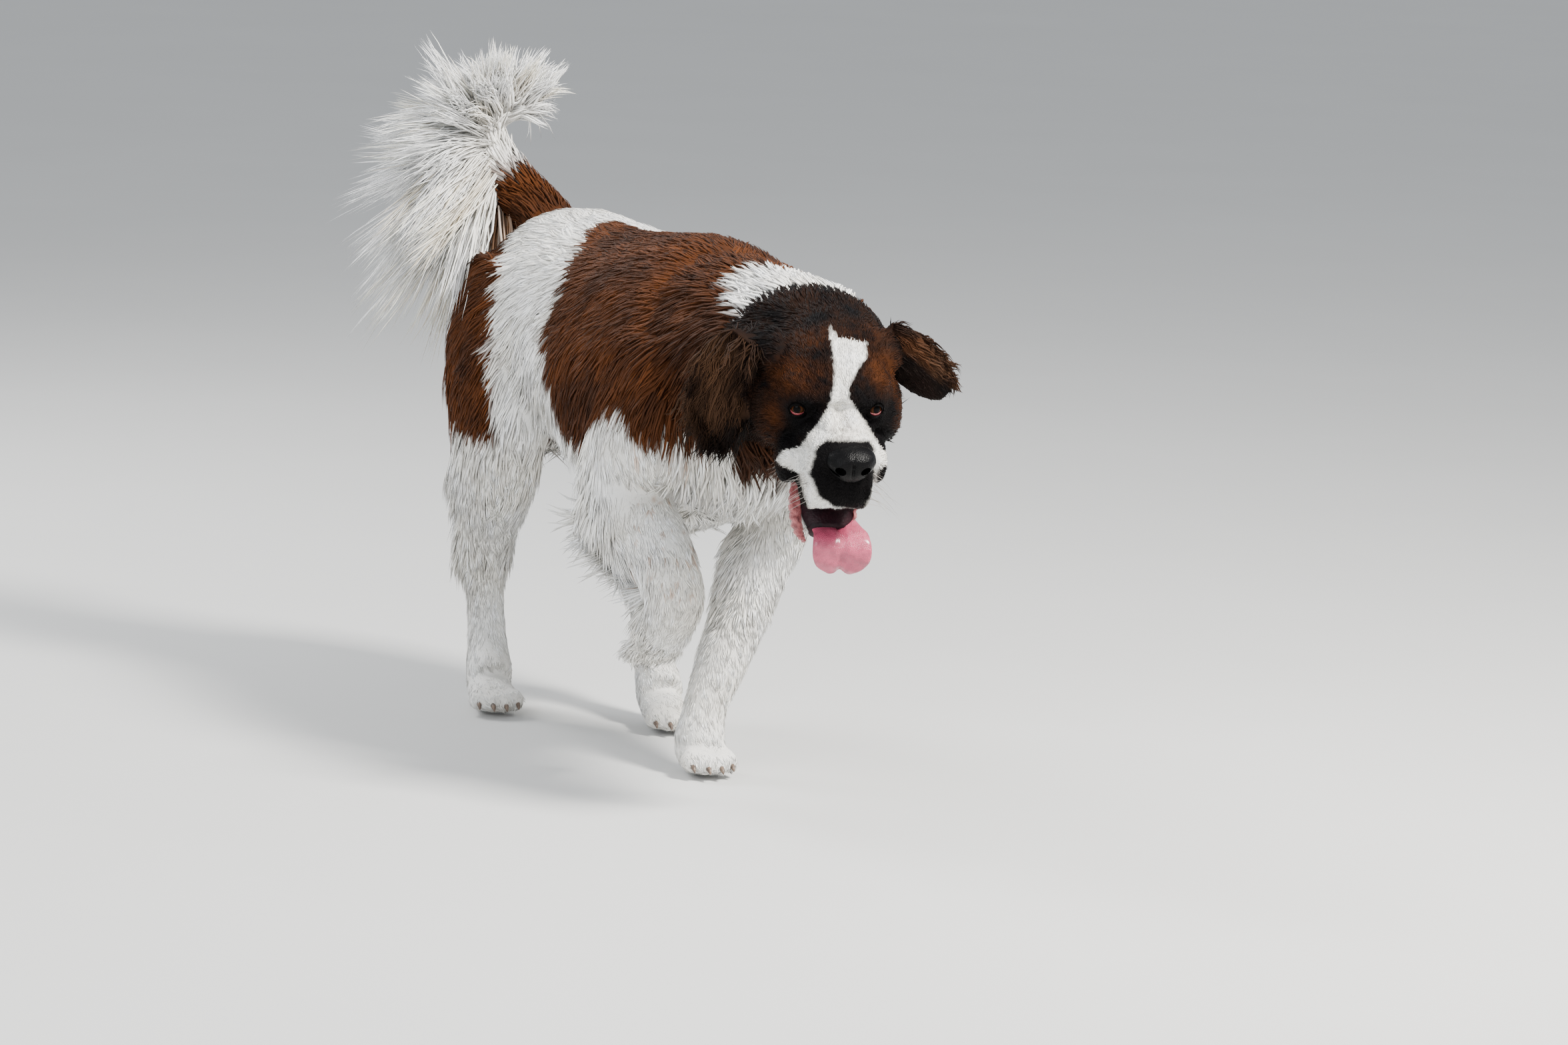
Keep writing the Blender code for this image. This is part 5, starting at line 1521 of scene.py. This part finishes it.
def groom_head(draw):
    """The coat of face, skull and throat, lying away from the nose."""
    skin = made["skin"]

    def density(points):
        head = head_places(points)
        near = (np.linalg.norm(head - np.array([0, 0, -0.06]), axis=1) < 0.24) & (head[:, 2] > -0.19)
        return near * sizes().head_tufts * np.interp(head[:, 2], (-0.15, -0.02, 0.06), (0.55, 0.9, 1.2))

    root, normal = scattered(skin, density, draw)
    on_head, on_ear = regions(root, made["head_tree"], made["ear_trees"])
    head = head_places(root)
    leather = np.array(NOSE_HALF) * (1.02, 0.80, 1.02)
    nose = np.linalg.norm((head - np.array(NOSE_PLACE)) / leather, axis=1) < 1
    eyes = np.zeros(len(root), bool)
    beside = np.ones(len(root))
    for side in (1, -1):
        centre = np.array([EYE_PLACE[0] * side, EYE_PLACE[1], EYE_PLACE[2]])
        near = np.linalg.norm(head - centre, axis=1)
        eyes |= near < EYE_RADIUS * 1.20
        beside = np.minimum(beside, near)
    keep = on_head & ~on_ear["left"] & ~on_ear["right"] & ~nose & ~eyes
    root, normal, head, beside = root[keep], normal[keep], head[keep], beside[keep]
    left, up, forward = head.T
    local = head - np.array([0, -0.05, 0.16])
    local[:, 1] -= np.clip(np.abs(left) - 0.05, 0, 1) * 2.2 + np.clip(-0.05 - up, 0, 1) * 1.6
    from_eye = head - np.stack([np.sign(left) * EYE_PLACE[0], left * 0, left * 0 + EYE_PLACE[2]], axis=1)
    ring = np.clip((0.030 - beside) / 0.012, 0, 1)[:, None]
    local = unit(local) * (1 - ring) + unit(from_eye) * ring * 1.5
    over_ear = np.zeros(len(head))
    for which, rows in EARS.items():
        near = np.exp(-(np.linalg.norm(head - np.array(rows[0][:3]), axis=1) / 0.042) ** 2)
        local += np.array(EAR_LIE[which])[None] * near[:, None] * (3.0 if which == "right" else 0.8)
        over_ear = np.maximum(over_ear, near * (1.0 if which == "right" else 0.25))
    fringe = np.clip((left - 0.060) / 0.02, 0, 1) * np.exp(-((forward + 0.095) / 0.045) ** 2) * (up < 0.035)
    local += np.array([[1.3, -0.9, -0.2]]) * fringe[:, None]
    way = local @ np.array(AXES).T
    length = np.interp(
        forward, (-0.19, -0.12, -0.06, 0.0, 0.06, 0.10), (0.034, 0.025, 0.017, 0.012, 0.008, 0.006)
    )
    cheek = np.clip((np.abs(left) - 0.06) / 0.03, 0, 1) * np.clip((0.0 - up) / 0.05, 0, 1)
    throat = np.clip((-0.10 - up) / 0.04, 0, 1) * (forward < 0.02)
    length = length + cheek * 0.012 * (forward < 0.0) + throat * 0.010
    length = length * np.interp(beside, (0.016, 0.034), (0.35, 1.0)) + over_ear * 0.012 + fringe * 0.016
    lift = np.interp(length, (0.006, 0.02, 0.04), (13, 11, 9)) + fringe * 8
    width = np.interp(length, (0.006, 0.02, 0.04), (0.0013, 0.0020, 0.0027))
    tufts = tuft_rows(root, normal, way, length, width, lift, draw, 0.006, head_colours, 0.5)
    split_pieces("coat_head", tufts, 2, "dark_coat", (0, 1, 0))


def groom_ears(draw):
    """The long waved hair of both ears."""
    skin = made["skin"]

    def density(points):
        head = head_places(points)
        away = np.abs(head[:, 0]) > EAR_FROM - 0.002
        near = np.linalg.norm(head - np.array([0, 0, -0.10]), axis=1) < 0.24
        return (away & near) * sizes().ear_tufts

    root, normal = scattered(skin, density, draw)
    _, on_ear = regions(root, made["head_tree"], made["ear_trees"])
    for which, mask in on_ear.items():
        points, outward = root[mask], normal[mask]
        head = head_places(points)
        spine = np.array([row[:3] for row in smooth_rows(EARS[which], 4)])
        nearest = np.linalg.norm(head[:, None] - spine[None], axis=2).argmin(1)
        share = nearest / (len(spine) - 1)
        aside = head - spine[nearest]
        way = np.array(EAR_LIE[which])[None] + aside * np.interp(share, (0.1, 0.5), (0.0, 5.0))[:, None]
        way = way @ np.array(AXES).T
        facing = (outward @ np.array(AXES))[:, 2] > 0
        reach = (0.050, 0.068, 0.060) if which == "right" else (0.034, 0.040, 0.024)
        length = np.interp(share, (0, 0.4, 1.0), reach) * np.where(facing, 1.0, 0.8)
        if which == "left":
            low = 0.066 - (head[:, 0] - 0.074) * 0.76 - head[:, 1]
            length = length * np.interp(low, (-0.006, 0.008), (1.0, 0.2))
        tufts = tuft_rows(
            points, outward, way, length, np.full(len(points), 0.0024), np.full(len(points), 7.0),
            draw, 0.009, lambda spots: ear_colours(spots, which),
        )
        tufts["wave"] = 0.09 * length * draw.uniform(0.5, 1.2, len(points))
        tufts["turns"] = tufts["turns"] * 1.7
        tufts["sag"] = np.full(len(points), 0.10)
        build_tufts("coat_ear_" + which, tufts, 6, "dark_coat")


def groom_plume(draw):
    """The tail's long feathering: fine hairs in wisps, fanned over the outer side of its curl."""
    count, number = sizes().plume_tufts, PLUME_WISPS
    share = ((np.arange(number) + draw.random(number)) / number) ** 1.75
    fringe = share < 0.09
    on_bone = np.where(fringe, 0.10 + share * 2, PLUME_START + (1 - PLUME_START) * share)
    bone = [tail_point(value) for value in on_bone]
    middle = np.array([row[0] for row in bone])
    along = np.array([row[1] for row in bone])
    thick = np.array([row[2] for row in bone]) + TAIL_SKIN
    turn = PLUME_ANGLES[0] + (PLUME_ANGLES[1] - PLUME_ANGLES[0]) * share + 13 * draw.normal(size=number)
    turn = np.radians(np.where(fringe, -84 + 6 * draw.normal(size=number), turn))
    lean = np.radians(draw.uniform(-44, 44, number))
    heading = np.stack([-np.cos(turn) * np.cos(lean), np.sin(lean), np.sin(turn) * np.cos(lean)], axis=1)
    outward = unit(heading - (heading * along).sum(1, keepdims=True) * along)
    reach = np.interp(share, np.linspace(0, 1, len(PLUME_LENGTHS)), PLUME_LENGTHS)
    reach = reach * draw.uniform(0.80, 1.0, number) * np.where(fringe, 0.85, 1)
    reach = reach * (1 - 0.50 * np.clip(np.sin(lean), 0, 1))
    bend = 0.10 * draw.normal(size=(number, 3))
    tint = np.interp(share, (0.0, 0.25), (0.45, 0.12)) + 0.16 * draw.normal(size=number)
    own = np.sort(draw.integers(0, number, count))
    scatter = draw.normal(size=(count, 3))
    scatter = scatter - (scatter * heading[own]).sum(1, keepdims=True) * heading[own]
    root = middle[own] + outward[own] * (thick[own] - 0.004)[:, None] + scatter * 0.0075
    way = unit(heading[own] + 0.055 * draw.normal(size=(count, 3)))
    normal = unit(np.cross(way, unit(draw.normal(size=(count, 3)))))
    length = reach[own] * draw.uniform(0.70, 1.04, count)
    ahead = way + bend[own] - np.array([0, 0, PLUME_SAG])
    box = [np.array(corner) for corner in CAD_BOX]
    room = np.where(ahead < 0, box[0] - PLUME_ROOM - root, box[1] + PLUME_ROOM - root) / ahead
    length = np.minimum(length, room.min(axis=1) * draw.uniform(0.86, 1.0, count))
    cream = np.clip(tint[own] + 0.10 * draw.normal(size=count), 0, 1)
    colour = mixed(colours("white")[None], colours("cream")[None], cream)
    warm = np.clip(0.75 + 0.2 * draw.normal(size=count), 0, 1) * fringe[own]
    colour = mixed(colour, colours("tan")[None], warm)
    tufts = {
        "root": root, "normal": normal, "along": way, "length": length,
        "pull": bend[own] * length[:, None] - scatter * 0.0075 * 0.75,
        "width": draw.uniform(0.0024, 0.0044, count) * np.interp(share[own], (0, 0.3), (1.2, 1.0)),
        "lift": np.full(count, 0.1),
        "colour": colour, "tone": 1.10 + 0.06 * draw.normal(size=count), "curl": np.zeros(count),
        "ridge": np.full(count, 0.5),
        "sag": np.full(count, PLUME_SAG), "wave": length * 0.03 * draw.uniform(0.3, 1.5, number)[own],
        "phase": draw.uniform(0, 6.28, number)[own] + draw.uniform(0, 0.8, count),
        "turns": draw.uniform(0.5, 1.2, number)[own], "uv": unwrapped(root),
    }
    split_pieces("coat_plume", tufts, 6, "white_coat", (0, 0, 1))


# The face.


def lid_frame(side):
    """The axes of one eye's opening, turned out and drooping."""
    outward = Matrix.Rotation(math.radians(EYE_OUT_DEG) * side, 4, "Y")
    droop = Matrix.Rotation(math.radians(-EYE_DROOP_DEG) * side, 4, "Z")
    raised = Matrix.Rotation(math.radians(-EYE_RAISED_DEG), 4, "X")
    centre = in_head(EYE_PLACE[0] * side, EYE_PLACE[1], EYE_PLACE[2])
    return head_matrix(centre) @ outward @ raised @ droop


def shell(name, side, shares, opening, opening_halves):
    """A hollow ball round one eye, with an oval opening in front."""
    axes = lid_frame(side)
    centre = axes.translation
    outer, inner = (EYE_RADIUS * share for share in shares)
    ball = ellipsoid(name, centre, (outer,) * 3, axes, 32, 48)
    core = ellipsoid("core", centre, (inner,) * 3, axes, 32, 48)
    opening_at = axes @ Vector((opening[0] * side, opening[1], opening[2]))
    hole = ellipsoid("hole", opening_at, opening_halves, axes, 24, 40)
    boolean(ball, core, "DIFFERENCE")
    boolean(ball, hole, "DIFFERENCE")
    removed(core, hole)
    return shaded_smooth(ball)


def make_eyes():
    """Eyeballs, lids and the red haw under them."""
    lids, haws = [], []
    for name, side in (("eye_left", 1), ("eye_right", -1)):
        axes = lid_frame(side)
        centre = axes.translation
        eye = shaded_smooth(ellipsoid(name + "_ball", centre, (EYE_RADIUS,) * 3, axes, 32, 48))
        ahead = (axes.to_3x3() @ Vector((0, -0.06, 1))).normalized()
        covered(eye, eye_material(centre, ahead))
        ridden(eye, "eye", name)
        lids.append(shell("lid", side, *LID_SHELL))
        haws.append(shell("haw", side, *HAW_SHELL))
    lids = joined("eyelids", lids)
    covered(lids, finish_material("lid_leather"))
    ridden(lids, "nose_leather")
    haws = joined("haws", haws)
    covered(haws, finish_material("haw_flesh"))
    ridden(haws, "tongue_flesh")


def make_nose():
    """The nose leather with comma-shaped nostrils, side slits and the groove between them."""
    build = bmesh.new()
    bmesh.ops.create_uvsphere(build, u_segments=72, v_segments=48, radius=1)
    for corner in build.verts:
        left, up, forward = corner.co
        flat = up if up < 0.35 else 0.35 + (up - 0.35) * 0.60
        wide = 1.0 - 0.22 * max(0.0, -up) - 0.05 * max(0.0, up)
        groove = 0.13 * math.exp(-(left / 0.07) ** 2) * max(0.0, forward) * (1.0 if up < 0.25 else 0.4)
        wing = 0.10 * math.exp(-((abs(left) - 0.62) / 0.25) ** 2) * math.exp(-((up + 0.1) / 0.5) ** 2)
        ahead = forward * (1 - groove + wing * max(0.0, forward))
        corner.co = Vector((left * wide * NOSE_HALF[0], flat * NOSE_HALF[1], ahead * NOSE_HALF[2]))
    build.transform(head_matrix(in_head(*NOSE_PLACE)))
    nose = object_from(build, "nose_leather")
    for side in (1, -1):
        turn = head_matrix(Vector()) @ Matrix.Rotation(math.radians(24 * side), 4, "Z")
        for aside, up, forward, halves in NOSTRIL_CUTS:
            centre = in_head(NOSE_PLACE[0] + aside * side, up, forward)
            cutter = ellipsoid("nostril", centre, halves, turn)
            boolean(nose, cutter, "DIFFERENCE")
            removed(cutter)
    shaded_smooth(nose)
    covered(nose, finish_material("nose_black"))
    ridden(nose, "nose_leather", "nose_pad")


def make_tongue():
    """The tongue, hanging over the jaw, with its middle groove and a notched tip."""
    rows = [(forward, up, wide, thick) for up, forward, wide, thick in TONGUE]
    tongue = loft("tongue_wet", head_sections(rows, 0, 7), HEAD_LEFT, 44)
    points = points_of(tongue)
    local = head_places(points)
    left, up, forward = local.T
    flow = np.exp(-(left / 0.0045) ** 2)
    hang = np.clip((-0.166 - up) / 0.020, 0, 1)
    groove = -0.0050 * flow
    notch = 0.0060 * np.exp(-(left / 0.008) ** 2) * np.clip((-0.205 - up) / 0.018, 0, 1)
    ripple = 0.0008 * np.sin(up * 260 + left * 90)
    cupped = (left / 0.040) ** 2 * 0.006 * (1 - hang)
    local[:, 0] += TONGUE_ASIDE * np.clip(forward / 0.05, 0, 1)
    local[:, 2] += (groove + (left / 0.040) ** 2 * 0.004) * hang + ripple
    local[:, 1] += notch + groove * (1 - hang) + cupped
    moved = local @ np.array(AXES).T + np.array(HEAD_AT + SHIFT)
    tongue.data.vertices.foreach_set("co", moved.ravel())
    tongue.data.update()
    shaded_smooth(tongue)
    covered(tongue, finish_material("tongue_pink"))
    ridden(tongue, "tongue_flesh", "tongue")


def make_lips():
    """The ruffled lower lips, pink inside with a dark ragged rim."""
    pieces = []
    for side in (1, -1):
        rows = [
            (-0.014, -0.116, 0.044), (0.004, -0.132, 0.046), (0.020, -0.154, 0.045), (0.034, -0.178, 0.040),
            (0.042, -0.190, 0.032),
        ]
        finer = smooth_rows(rows, 8)
        sections = []
        for index, (forward, up, left) in enumerate(finer):
            ruffle = 0.0009 * math.sin(index * 1.9) + 0.0006 * math.sin(index * 4.3)
            wide = 0.0105 * math.sin(math.pi * (index + 1.5) / (len(finer) + 2)) + ruffle
            if side > 0:
                wide, left = wide * 0.25, left - 0.006
            sections.append((in_head((left + ruffle) * side, up, forward), wide, 0.0032))
        pieces.append(loft("lip", sections, AXES @ Vector((side, 0.1, 0.5)), 16))
    lips = shaded_smooth(joined("lower_lips", pieces))
    covered(lips, finish_material("lip_flesh"))
    ridden(lips, "tongue_flesh")


def make_claws():
    """Blunt horn claws at the ends of the toes."""
    claws = []
    for name in PAWS:
        _, _, ahead, across = paw_axes(name)
        above = across.cross(ahead)
        if above.z < 0:
            above = -above
        for toe in range(4):
            start = toe_place(name, toe) + ahead * TOE_RADIUS * 1.0 - above * 0.002
            sections = [
                (start, 0.0040, 0.0046),
                (start + ahead * 0.006 - above * 0.0010, 0.0034, 0.0040),
                (start + ahead * 0.0105 - above * 0.0034, 0.0022, 0.0026),
                (start + ahead * 0.0130 - above * 0.0062, 0.0008, 0.0009),
            ]
            claws.append(loft("claw", sections, across, 12))
    claws = shaded_smooth(joined("claws", claws))
    covered(claws, finish_material("claw_horn"))
    ridden(claws, "nose_leather")


def make_whiskers():
    """A few stiff whiskers from the lips."""
    draw = np.random.default_rng(SEED + 3)
    pieces = []
    for side in (1, -1):
        for _ in range(16):
            root = in_head(
                side * draw.uniform(0.034, 0.050), draw.uniform(-0.105, -0.062), draw.uniform(0.050, 0.092)
            )
            aside, up, forward = draw.uniform((0.7, -0.7, -0.3), (1.0, 0.1, 0.5))
            way = AXES @ Vector((side * aside, up, forward))
            length = draw.uniform(0.030, 0.055)
            bend = AXES @ Vector((0, -0.35, -0.2)) * length
            sections = [
                (root + way * length * t + bend * t * t, 0.00042 * (1.05 - t), 0.00042 * (1.05 - t))
                for t in (-0.2, 0.0, 0.35, 0.7, 1.0)
            ]
            pieces.append(loft("whisker", sections, AXES @ Vector((0, 1, 0.1)), 5))
    whiskers = shaded_smooth(joined("whiskers", pieces))
    covered(whiskers, finish_material("whisker_horn"))
    ridden(whiskers, "white_coat")


def make_collar():
    """A black webbing band round the neck, deep in the ruff."""
    before, after = NECK[2], NECK[3]
    centre = place(*(one + (other - one) * 0.10 for one, other in zip(before[:3], after[:3])))
    centre = centre - Vector((0, 0, COLLAR_DROP))
    along = (place(*after[:3]) - place(*before[:3])).normalized()
    half = along * COLLAR_WIDTH / 2
    wide, deep = COLLAR_HALVES
    inside = [(centre - half * 2, wide, deep), (centre + half * 2, wide, deep)]
    inside = loft("inside", inside, SIDEWAYS, 64)
    outer = [
        (centre + half * part, wide + thick, deep + thick)
        for part, thick in ((-1, 0.0012), (-0.9, 0.0030), (0.9, 0.0030), (1, 0.0012))
    ]
    band = loft("collar_band", outer, SIDEWAYS, 64)
    boolean(band, inside, "DIFFERENCE")
    removed(inside)
    material, nodes, links, shader = new_material("collar_weave")
    where = nodes.new("ShaderNodeTexCoord")
    weave = nodes.new("ShaderNodeTexChecker")
    weave.inputs["Scale"].default_value = 900.0
    weave.inputs["Color1"].default_value = (0.012, 0.012, 0.013, 1)
    weave.inputs["Color2"].default_value = (0.005, 0.005, 0.006, 1)
    links.new(where.outputs["Object"], weave.inputs["Vector"])
    links.new(weave.outputs["Color"], shader.inputs["Base Color"])
    shader.inputs["Roughness"].default_value = 0.75
    bumped(nodes, links, weave.outputs["Fac"], 0.5, 0.0004, shader)
    covered(band, material)
    ridden(band, "collar_webbing", "collar")


# The stage: the camera stands where the photograph was taken from, with a longer lens.

CAMERA_TARGET = (0.132, -0.22, 0.35)
CAMERA_AZIMUTH_DEG = -24.0
CAMERA_ELEVATION_DEG = 8.5
CAMERA_DISTANCE = 10.0
CAMERA_ROLL_DEG = 1.7
CAMERA_LENS = 158.0


def make_camera():
    """A long lens low in front of the dog's right side."""
    azimuth, elevation = math.radians(CAMERA_AZIMUTH_DEG), math.radians(CAMERA_ELEVATION_DEG)
    roll = math.radians(CAMERA_ROLL_DEG)
    back = Vector((
        math.sin(azimuth) * math.cos(elevation), -math.cos(azimuth) * math.cos(elevation),
        math.sin(elevation),
    ))
    right = (-back).cross(Vector((0, 0, 1))).normalized()
    up = right.cross(-back)
    turned_right = right * math.cos(roll) + up * math.sin(roll)
    turned_up = -right * math.sin(roll) + up * math.cos(roll)
    camera = bpy.data.objects.new("Camera", bpy.data.cameras.new("Camera"))
    bpy.context.scene.collection.objects.link(camera)
    matrix = Matrix((turned_right, turned_up, back)).transposed().to_4x4()
    matrix.translation = Vector(CAMERA_TARGET) + SHIFT + back * CAMERA_DISTANCE
    camera.matrix_world = matrix
    camera.data.lens = CAMERA_LENS
    camera.data.sensor_width = 36.0
    camera.data.clip_end = 60.0
    bpy.context.scene.camera = camera


def make_stage():
    """A pale floor and soft studio light, strongest from the upper right."""
    build = bmesh.new()
    bmesh.ops.create_grid(build, x_segments=1, y_segments=1, size=14)
    floor = object_from(build, "floor")
    for polygon in floor.data.polygons:
        if polygon.normal.z < 0:
            floor.data.flip_normals()
    material, nodes, links, shader = new_material("floor_pale")
    where = nodes.new("ShaderNodeTexCoord")
    cloud = noise_node(nodes, links, where.outputs["Object"], 1.5)
    greys = ((0.0, (0.56, 0.56, 0.55)), (1.0, (0.60, 0.60, 0.59)))
    links.new(ramped(nodes, links, cloud.outputs["Fac"], greys), shader.inputs["Base Color"])
    shader.inputs["Roughness"].default_value = 0.85
    floor.data.materials.append(material)
    world = bpy.data.worlds.new("studio")
    world.use_nodes = True
    world.node_tree.nodes["Background"].inputs["Color"].default_value = (0.86, 0.90, 0.95, 1)
    world.node_tree.nodes["Background"].inputs["Strength"].default_value = 0.80
    bpy.context.scene.world = world
    for name, standing, size, power, tint in (
        ("key", (1.6, -2.6, 3.6), 0.9, 590, (1.0, 0.97, 0.92)),
        ("fill", (-3.2, -2.8, 1.8), 2.4, 110, (0.94, 0.97, 1.0)),
        ("rim", (-1.4, 3.2, 3.0), 1.6, 160, (1.0, 1.0, 1.0)),
    ):
        light = bpy.data.lights.new(name, "AREA")
        light.size = size
        light.energy = power
        light.color = tint
        lamp = bpy.data.objects.new(name, light)
        bpy.context.scene.collection.objects.link(lamp)
        lamp.location = standing
        aim = Vector((0, 0, 0.45)) - Vector(standing)
        lamp.rotation_euler = aim.to_track_quat("-Z", "Y").to_euler()


# Operators and panel.


class DOG_OT_skin(bpy.types.Operator):
    """Sculpt the one skin of body and head"""

    bl_idname = "dog.skin"
    bl_label = "Skin"

    def execute(self, context):
        make_skin()
        return {"FINISHED"}


class DOG_OT_face(bpy.types.Operator):
    """Make the eyes, nose, tongue, lips and whiskers"""

    bl_idname = "dog.face"
    bl_label = "Face"

    def execute(self, context):
        make_eyes()
        make_nose()
        make_tongue()
        make_lips()
        make_whiskers()
        return {"FINISHED"}


class DOG_OT_claws(bpy.types.Operator):
    """Make the claws"""

    bl_idname = "dog.claws"
    bl_label = "Claws"

    def execute(self, context):
        make_claws()
        return {"FINISHED"}


class DOG_OT_coat(bpy.types.Operator):
    """Groom the coat of body, head, ears and tail"""

    bl_idname = "dog.coat"
    bl_label = "Coat"

    def execute(self, context):
        made["unwrap"] = unwrap(made["skin"])
        made["skin_tree"] = tree_of(made["skin"])
        made["hair"] = hair_material("hair")
        for number, groom in enumerate((groom_body, groom_head, groom_ears, groom_plume)):
            groom(np.random.default_rng(SEED + number))
        return {"FINISHED"}


class DOG_OT_collar(bpy.types.Operator):
    """Make the collar under the ruff"""

    bl_idname = "dog.collar"
    bl_label = "Collar"

    def execute(self, context):
        make_collar()
        return {"FINISHED"}


class DOG_OT_stage(bpy.types.Operator):
    """Set the floor, the light and the camera"""

    bl_idname = "dog.stage"
    bl_label = "Stage"

    def execute(self, context):
        make_stage()
        make_camera()
        return {"FINISHED"}


class DOG_PT_panel(bpy.types.Panel):
    """The dog's pieces and sizes in the sidebar"""

    bl_idname = "DOG_PT_panel"
    bl_label = "Saint Bernard"
    bl_space_type = "VIEW_3D"
    bl_region_type = "UI"
    bl_category = "Dog"

    def draw(self, context):
        for operator in OPERATORS:
            self.layout.operator(operator.bl_idname)
        for group in (context.scene.dog_sizes, context.scene.dog_colours):
            for name in group.bl_rna.properties.keys():
                if name not in ("rna_type", "name"):
                    self.layout.prop(group, name)


OPERATORS = (DOG_OT_stage, DOG_OT_skin, DOG_OT_face, DOG_OT_claws, DOG_OT_coat, DOG_OT_collar)
CLASSES = (DogSizes, DogColours, *OPERATORS, DOG_PT_panel)


def register():
    """Adds the panel, the operators and the settings."""
    for cls in CLASSES:
        bpy.utils.register_class(cls)
    bpy.types.Scene.dog_sizes = PointerProperty(type=DogSizes)
    bpy.types.Scene.dog_colours = PointerProperty(type=DogColours)


def unregister():
    """Takes them away again."""
    del bpy.types.Scene.dog_sizes
    del bpy.types.Scene.dog_colours
    for cls in reversed(CLASSES):
        bpy.utils.unregister_class(cls)


def main():
    """Makes every piece in order."""
    register()
    bpy.ops.dog.stage()
    bpy.ops.dog.skin()
    bpy.ops.dog.face()
    bpy.ops.dog.claws()
    bpy.ops.dog.coat()
    bpy.ops.dog.collar()


if __name__ == "__main__":
    main()
